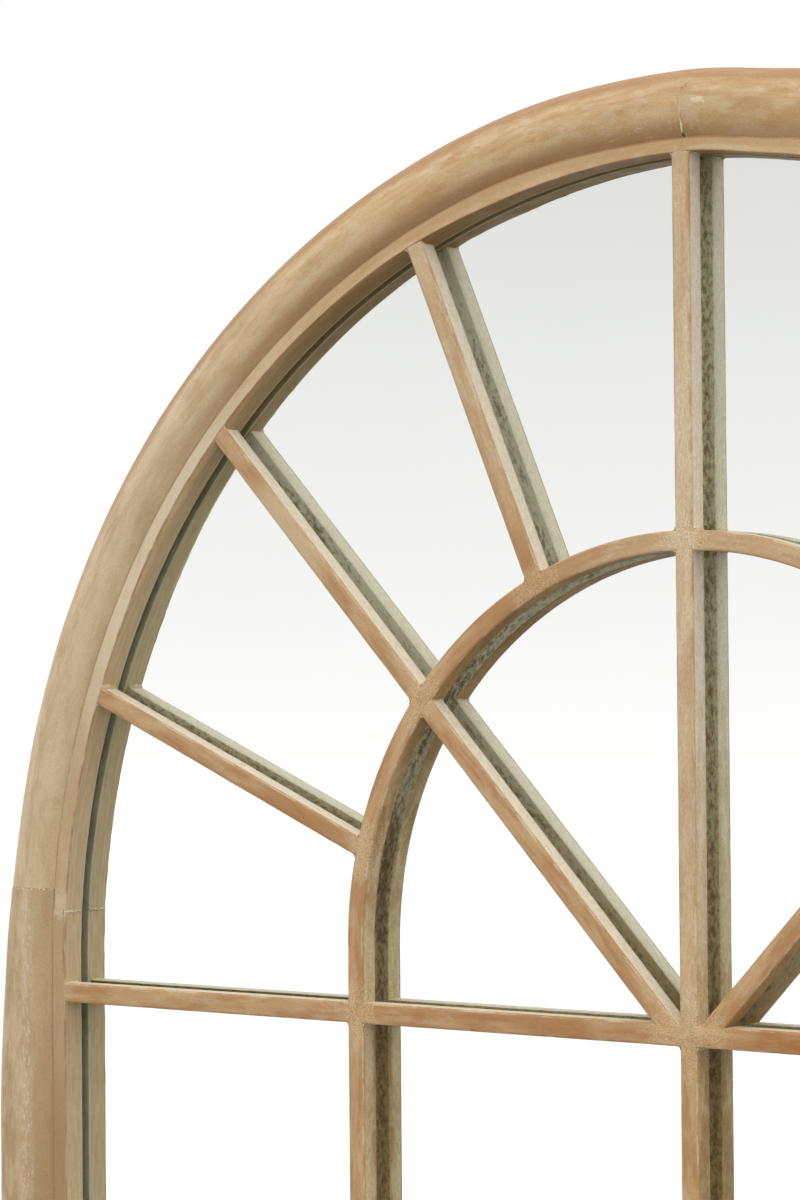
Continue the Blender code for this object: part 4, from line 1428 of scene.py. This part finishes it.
def rounded_section(width, thickness, radius, across_steps):
    """A flat strip's section: across from -width/2, through from 0 to thickness."""
    first, second, third, fourth = corner_arcs(width / 2, thickness, (radius, 3), (radius, 3))
    return [
        *first[:-1],
        *divided(first[-1], second[0], across_steps),
        *second,
        *third[:-1],
        *divided(third[-1], fourth[0], across_steps),
        *fourth,
    ]


def strap_piece(side_name, x):
    """One strip of zinc with rounded corners at its foot, curled at its top into the ring's eye."""
    middle = (eye_outer_radius + eye_inner_radius) / 2
    length = strap_length + eye_turn * middle

    def place(across, through, along):
        lost = strap_corner - math.sqrt(strap_corner**2 - max(0, strap_corner - along) ** 2)
        across *= 1 - lost / (strap_width / 2)
        if along < strap_length:
            return (x + across, fittings_back + through, hanger_height - strap_length + along)
        angle = math.pi - (along - strap_length) / middle
        radius = eye_outer_radius - through
        depth = fittings_back + eye_outer_radius + radius * math.cos(angle)
        return (x + across, depth, hanger_height + radius * math.sin(angle))

    shape = stick(rounded_section(strap_width, strap_thickness, strap_edge_radius, 6), length, fine_station)
    laid(shape, place)
    piece = finished_piece(f"strap_{side_name}_bent", shape, zinc, fitting_crease)
    place_on_body(piece, [f"hanger_strap_{side_name}"])


def along_outline(points, along):
    """The place and the way at a length along a closed outline."""
    points = [Vector(point) for point in points]
    for start, end in zip(points, points[1:] + points[:1]):
        step = (end - start).length
        if along <= step:
            return start + (end - start) * along / step, (end - start).normalized()
        along -= step
    return points[0], (points[1] - points[0]).normalized()


def ring_piece(side_name, x):
    """A D of round wire through the strap's eye."""
    half = (ring_inner_width + ring_wire) / 2
    bend = ring_corner_radius
    outline = [
        *round_points((0, -ring_side_length), (half, half), math.pi, 2 * math.pi, ring_bow_steps),
        *round_points((half - bend, -bend), (bend, bend), 0, quarter_turn, ring_corner_steps),
        *round_points((bend - half, -bend), (bend, bend), quarter_turn, math.pi, ring_corner_steps),
    ]
    steps = zip(outline, outline[1:] + outline[:1])
    length = sum((Vector(end) - Vector(start)).length for start, end in steps)
    wire = (ring_wire / 2, ring_wire / 2)
    shape = stick(round_points((0, 0), wire, 0, 2 * math.pi, wire_steps)[:-1], length, fine_station)
    ends = [face for face in shape.faces if len(face.verts) > 4]
    bmesh.ops.delete(shape, geom=ends, context="FACES_ONLY")

    def place(across, through, along):
        start, way = along_outline(outline, along % length)
        ahead = along_outline(outline, (along + ring_smoothing) % length)[1]
        behind = along_outline(outline, (along - ring_smoothing) % length)[1]
        way = (ahead + way + behind).normalized()
        out = Vector((way.y, -way.x))
        worn = 1 + ring_unevenness * wave((along, across, through), 2 * MM)
        side, up = start + out * across * worn
        return (x + side, fittings_back + eye_outer_radius + through * worn, hanger_height + up)

    laid(shape, place)
    bmesh.ops.remove_doubles(shape, verts=shape.verts[:], dist=0.05 * MM)
    piece = finished_piece(f"ring_{side_name}_wire", shape, zinc, wire_crease)
    place_on_body(piece, [f"hanger_ring_{side_name}"], f"ring_{side_name}")


def bumper_piece(side_name, x):
    """A moulded rubber foot, dished round its middle."""
    edge_middle = (bumper_radius - bumper_edge_radius, bumper_thickness - bumper_edge_radius)
    profile = [
        (0, 0),
        (bumper_radius - bumper_foot_chamfer, 0),
        (bumper_radius, bumper_foot_chamfer),
        *round_points(edge_middle, (bumper_edge_radius, bumper_edge_radius), 0, quarter_turn, 6),
        *((radius, bumper_thickness - sunk) for radius, sunk in bumper_dish),
        (0, bumper_thickness - bumper_hole_depth),
    ]
    centre = (x, fittings_back, bumper_height)
    piece = turned_piece(f"bumper_{side_name}_moulded", profile, centre, bumper_steps, bumper_rubber)
    place_on_body(piece, [f"bumper_{side_name}"])


for side_name, side in SIDES.items():
    strap_piece(side_name, side * hanger_x)
    ring_piece(side_name, side * hanger_x)
    bumper_piece(side_name, side * hanger_x)
for number, node in enumerate(sorted(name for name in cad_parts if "screw" in name)):
    screw_piece(node, strap_screw_head if "strap" in node else board_screw_head, turn_between_screws * number)


# The nodes that keep their solids

node_finishes = {
    "tongue": (raw_wood, "raw_wood"),
    "backing_board": (hardboard, "hardboard"),
}
for name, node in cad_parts.items():
    for word, (material, slot) in node_finishes.items():
        if word in name:
            node.data.materials.clear()
            node.data.materials.append(material)


# Floor, light and camera


def floor():
    shape = bmesh.new()
    bmesh.ops.create_grid(shape, x_segments=1, y_segments=1, size=40)
    mesh = bpy.data.meshes.new("studio_floor")
    shape.to_mesh(mesh)
    shape.free()
    mesh.materials.append(floor_finish())
    piece = added("studio_floor", mesh)


def key_light():
    data = bpy.data.lights.new("key_light", "AREA")
    data.shape = "RECTANGLE"
    data.size = data.size_y = key_light_size
    data.energy = key_light_power
    lamp = added("key_light", data)
    lamp.location = key_light_place
    way = Vector(key_light_target) - Vector(key_light_place)
    lamp.rotation_euler = way.to_track_quat("-Z", "Y").to_euler()
    lamp.visible_glossy = False


def gradient(height, stops):
    """A colour for each height, between stops of (height, colour)."""
    low, high = stops[0][0], stops[-1][0]
    rise = result_of("MapRange", 0, {"Value": height, "From Min": low, "From Max": high})
    ramp = new_node(rise.id_data, "ValToRGB")
    elements = ramp.color_ramp.elements
    for element, (_, colour) in zip(elements, (stops[0], stops[-1])):
        element.color = (*colour, 1)
    for place, colour in stops[1:-1]:
        elements.new((place - low) / (high - low)).color = (*colour, 1)
    feed(ramp.inputs[0], rise)
    return ramp.outputs[0]


def grey_stops(*stops):
    return [(height, (value, value, value)) for height, value in stops]


def sky():
    """White behind the object, a soft gradient in the mirror, and a dome brighter above for light."""
    world = bpy.data.worlds.new("studio")
    bpy.context.scene.world = world
    world.use_nodes = True
    tree = world.node_tree
    aside, _, up = parts_of(new_node(tree, "TexCoord").outputs["Generated"])
    dome = gradient(up, grey_stops((-1, 0.2), (-0.15, 0.3), (0.05, 0.54), (0.3, 0.85), (1, 2.0)))
    sideways = maths("MULTIPLY_ADD", both(aside, aside), 0.9, 0.85)
    reflected = gradient(
        up,
        [
            (-0.06, lowest_reflection),
            (0.02, (1.16, 1.07, 1.08)),
            (0.10, (1.02, 0.95, 0.95)),
            (0.18, (0.88, 0.80, 0.775)),
            (0.5, (0.8, 0.75, 0.72)),
        ],
    )
    ray = new_node(tree, "LightPath")
    brighter = result_of("VectorMath", 0, {0: dome, "Scale": sideways}, operation="SCALE")
    colour = mix(in_mirror(ray), brighter, reflected)
    colour = mix(ray.outputs["Is Transmission Ray"], colour, (1, 1, 1))
    colour = mix(ray.outputs["Is Camera Ray"], colour, (1, 1, 1))
    feed(tree.nodes["Background"].inputs["Color"], colour)


def photograph_camera():
    yaw, pitch, roll = camera_turns
    forward = Vector((math.sin(yaw) * math.cos(pitch), math.cos(yaw) * math.cos(pitch), math.sin(pitch)))
    level = Vector((math.cos(yaw), -math.sin(yaw), 0))
    down = forward.cross(level)
    right = math.cos(roll) * level + math.sin(roll) * down
    up = math.sin(roll) * level - math.cos(roll) * down
    data = bpy.data.cameras.new("camera")
    data.sensor_width = camera_sensor
    data.lens = camera_lens
    camera = added("camera", data)
    axes = Matrix((right, up, -forward)).transposed().to_4x4()
    camera.matrix_world = Matrix.Translation(camera_place) @ axes
    bpy.context.scene.camera = camera


floor()
sky()
key_light()
photograph_camera()
bpy.context.scene.view_settings.view_transform = "Standard"
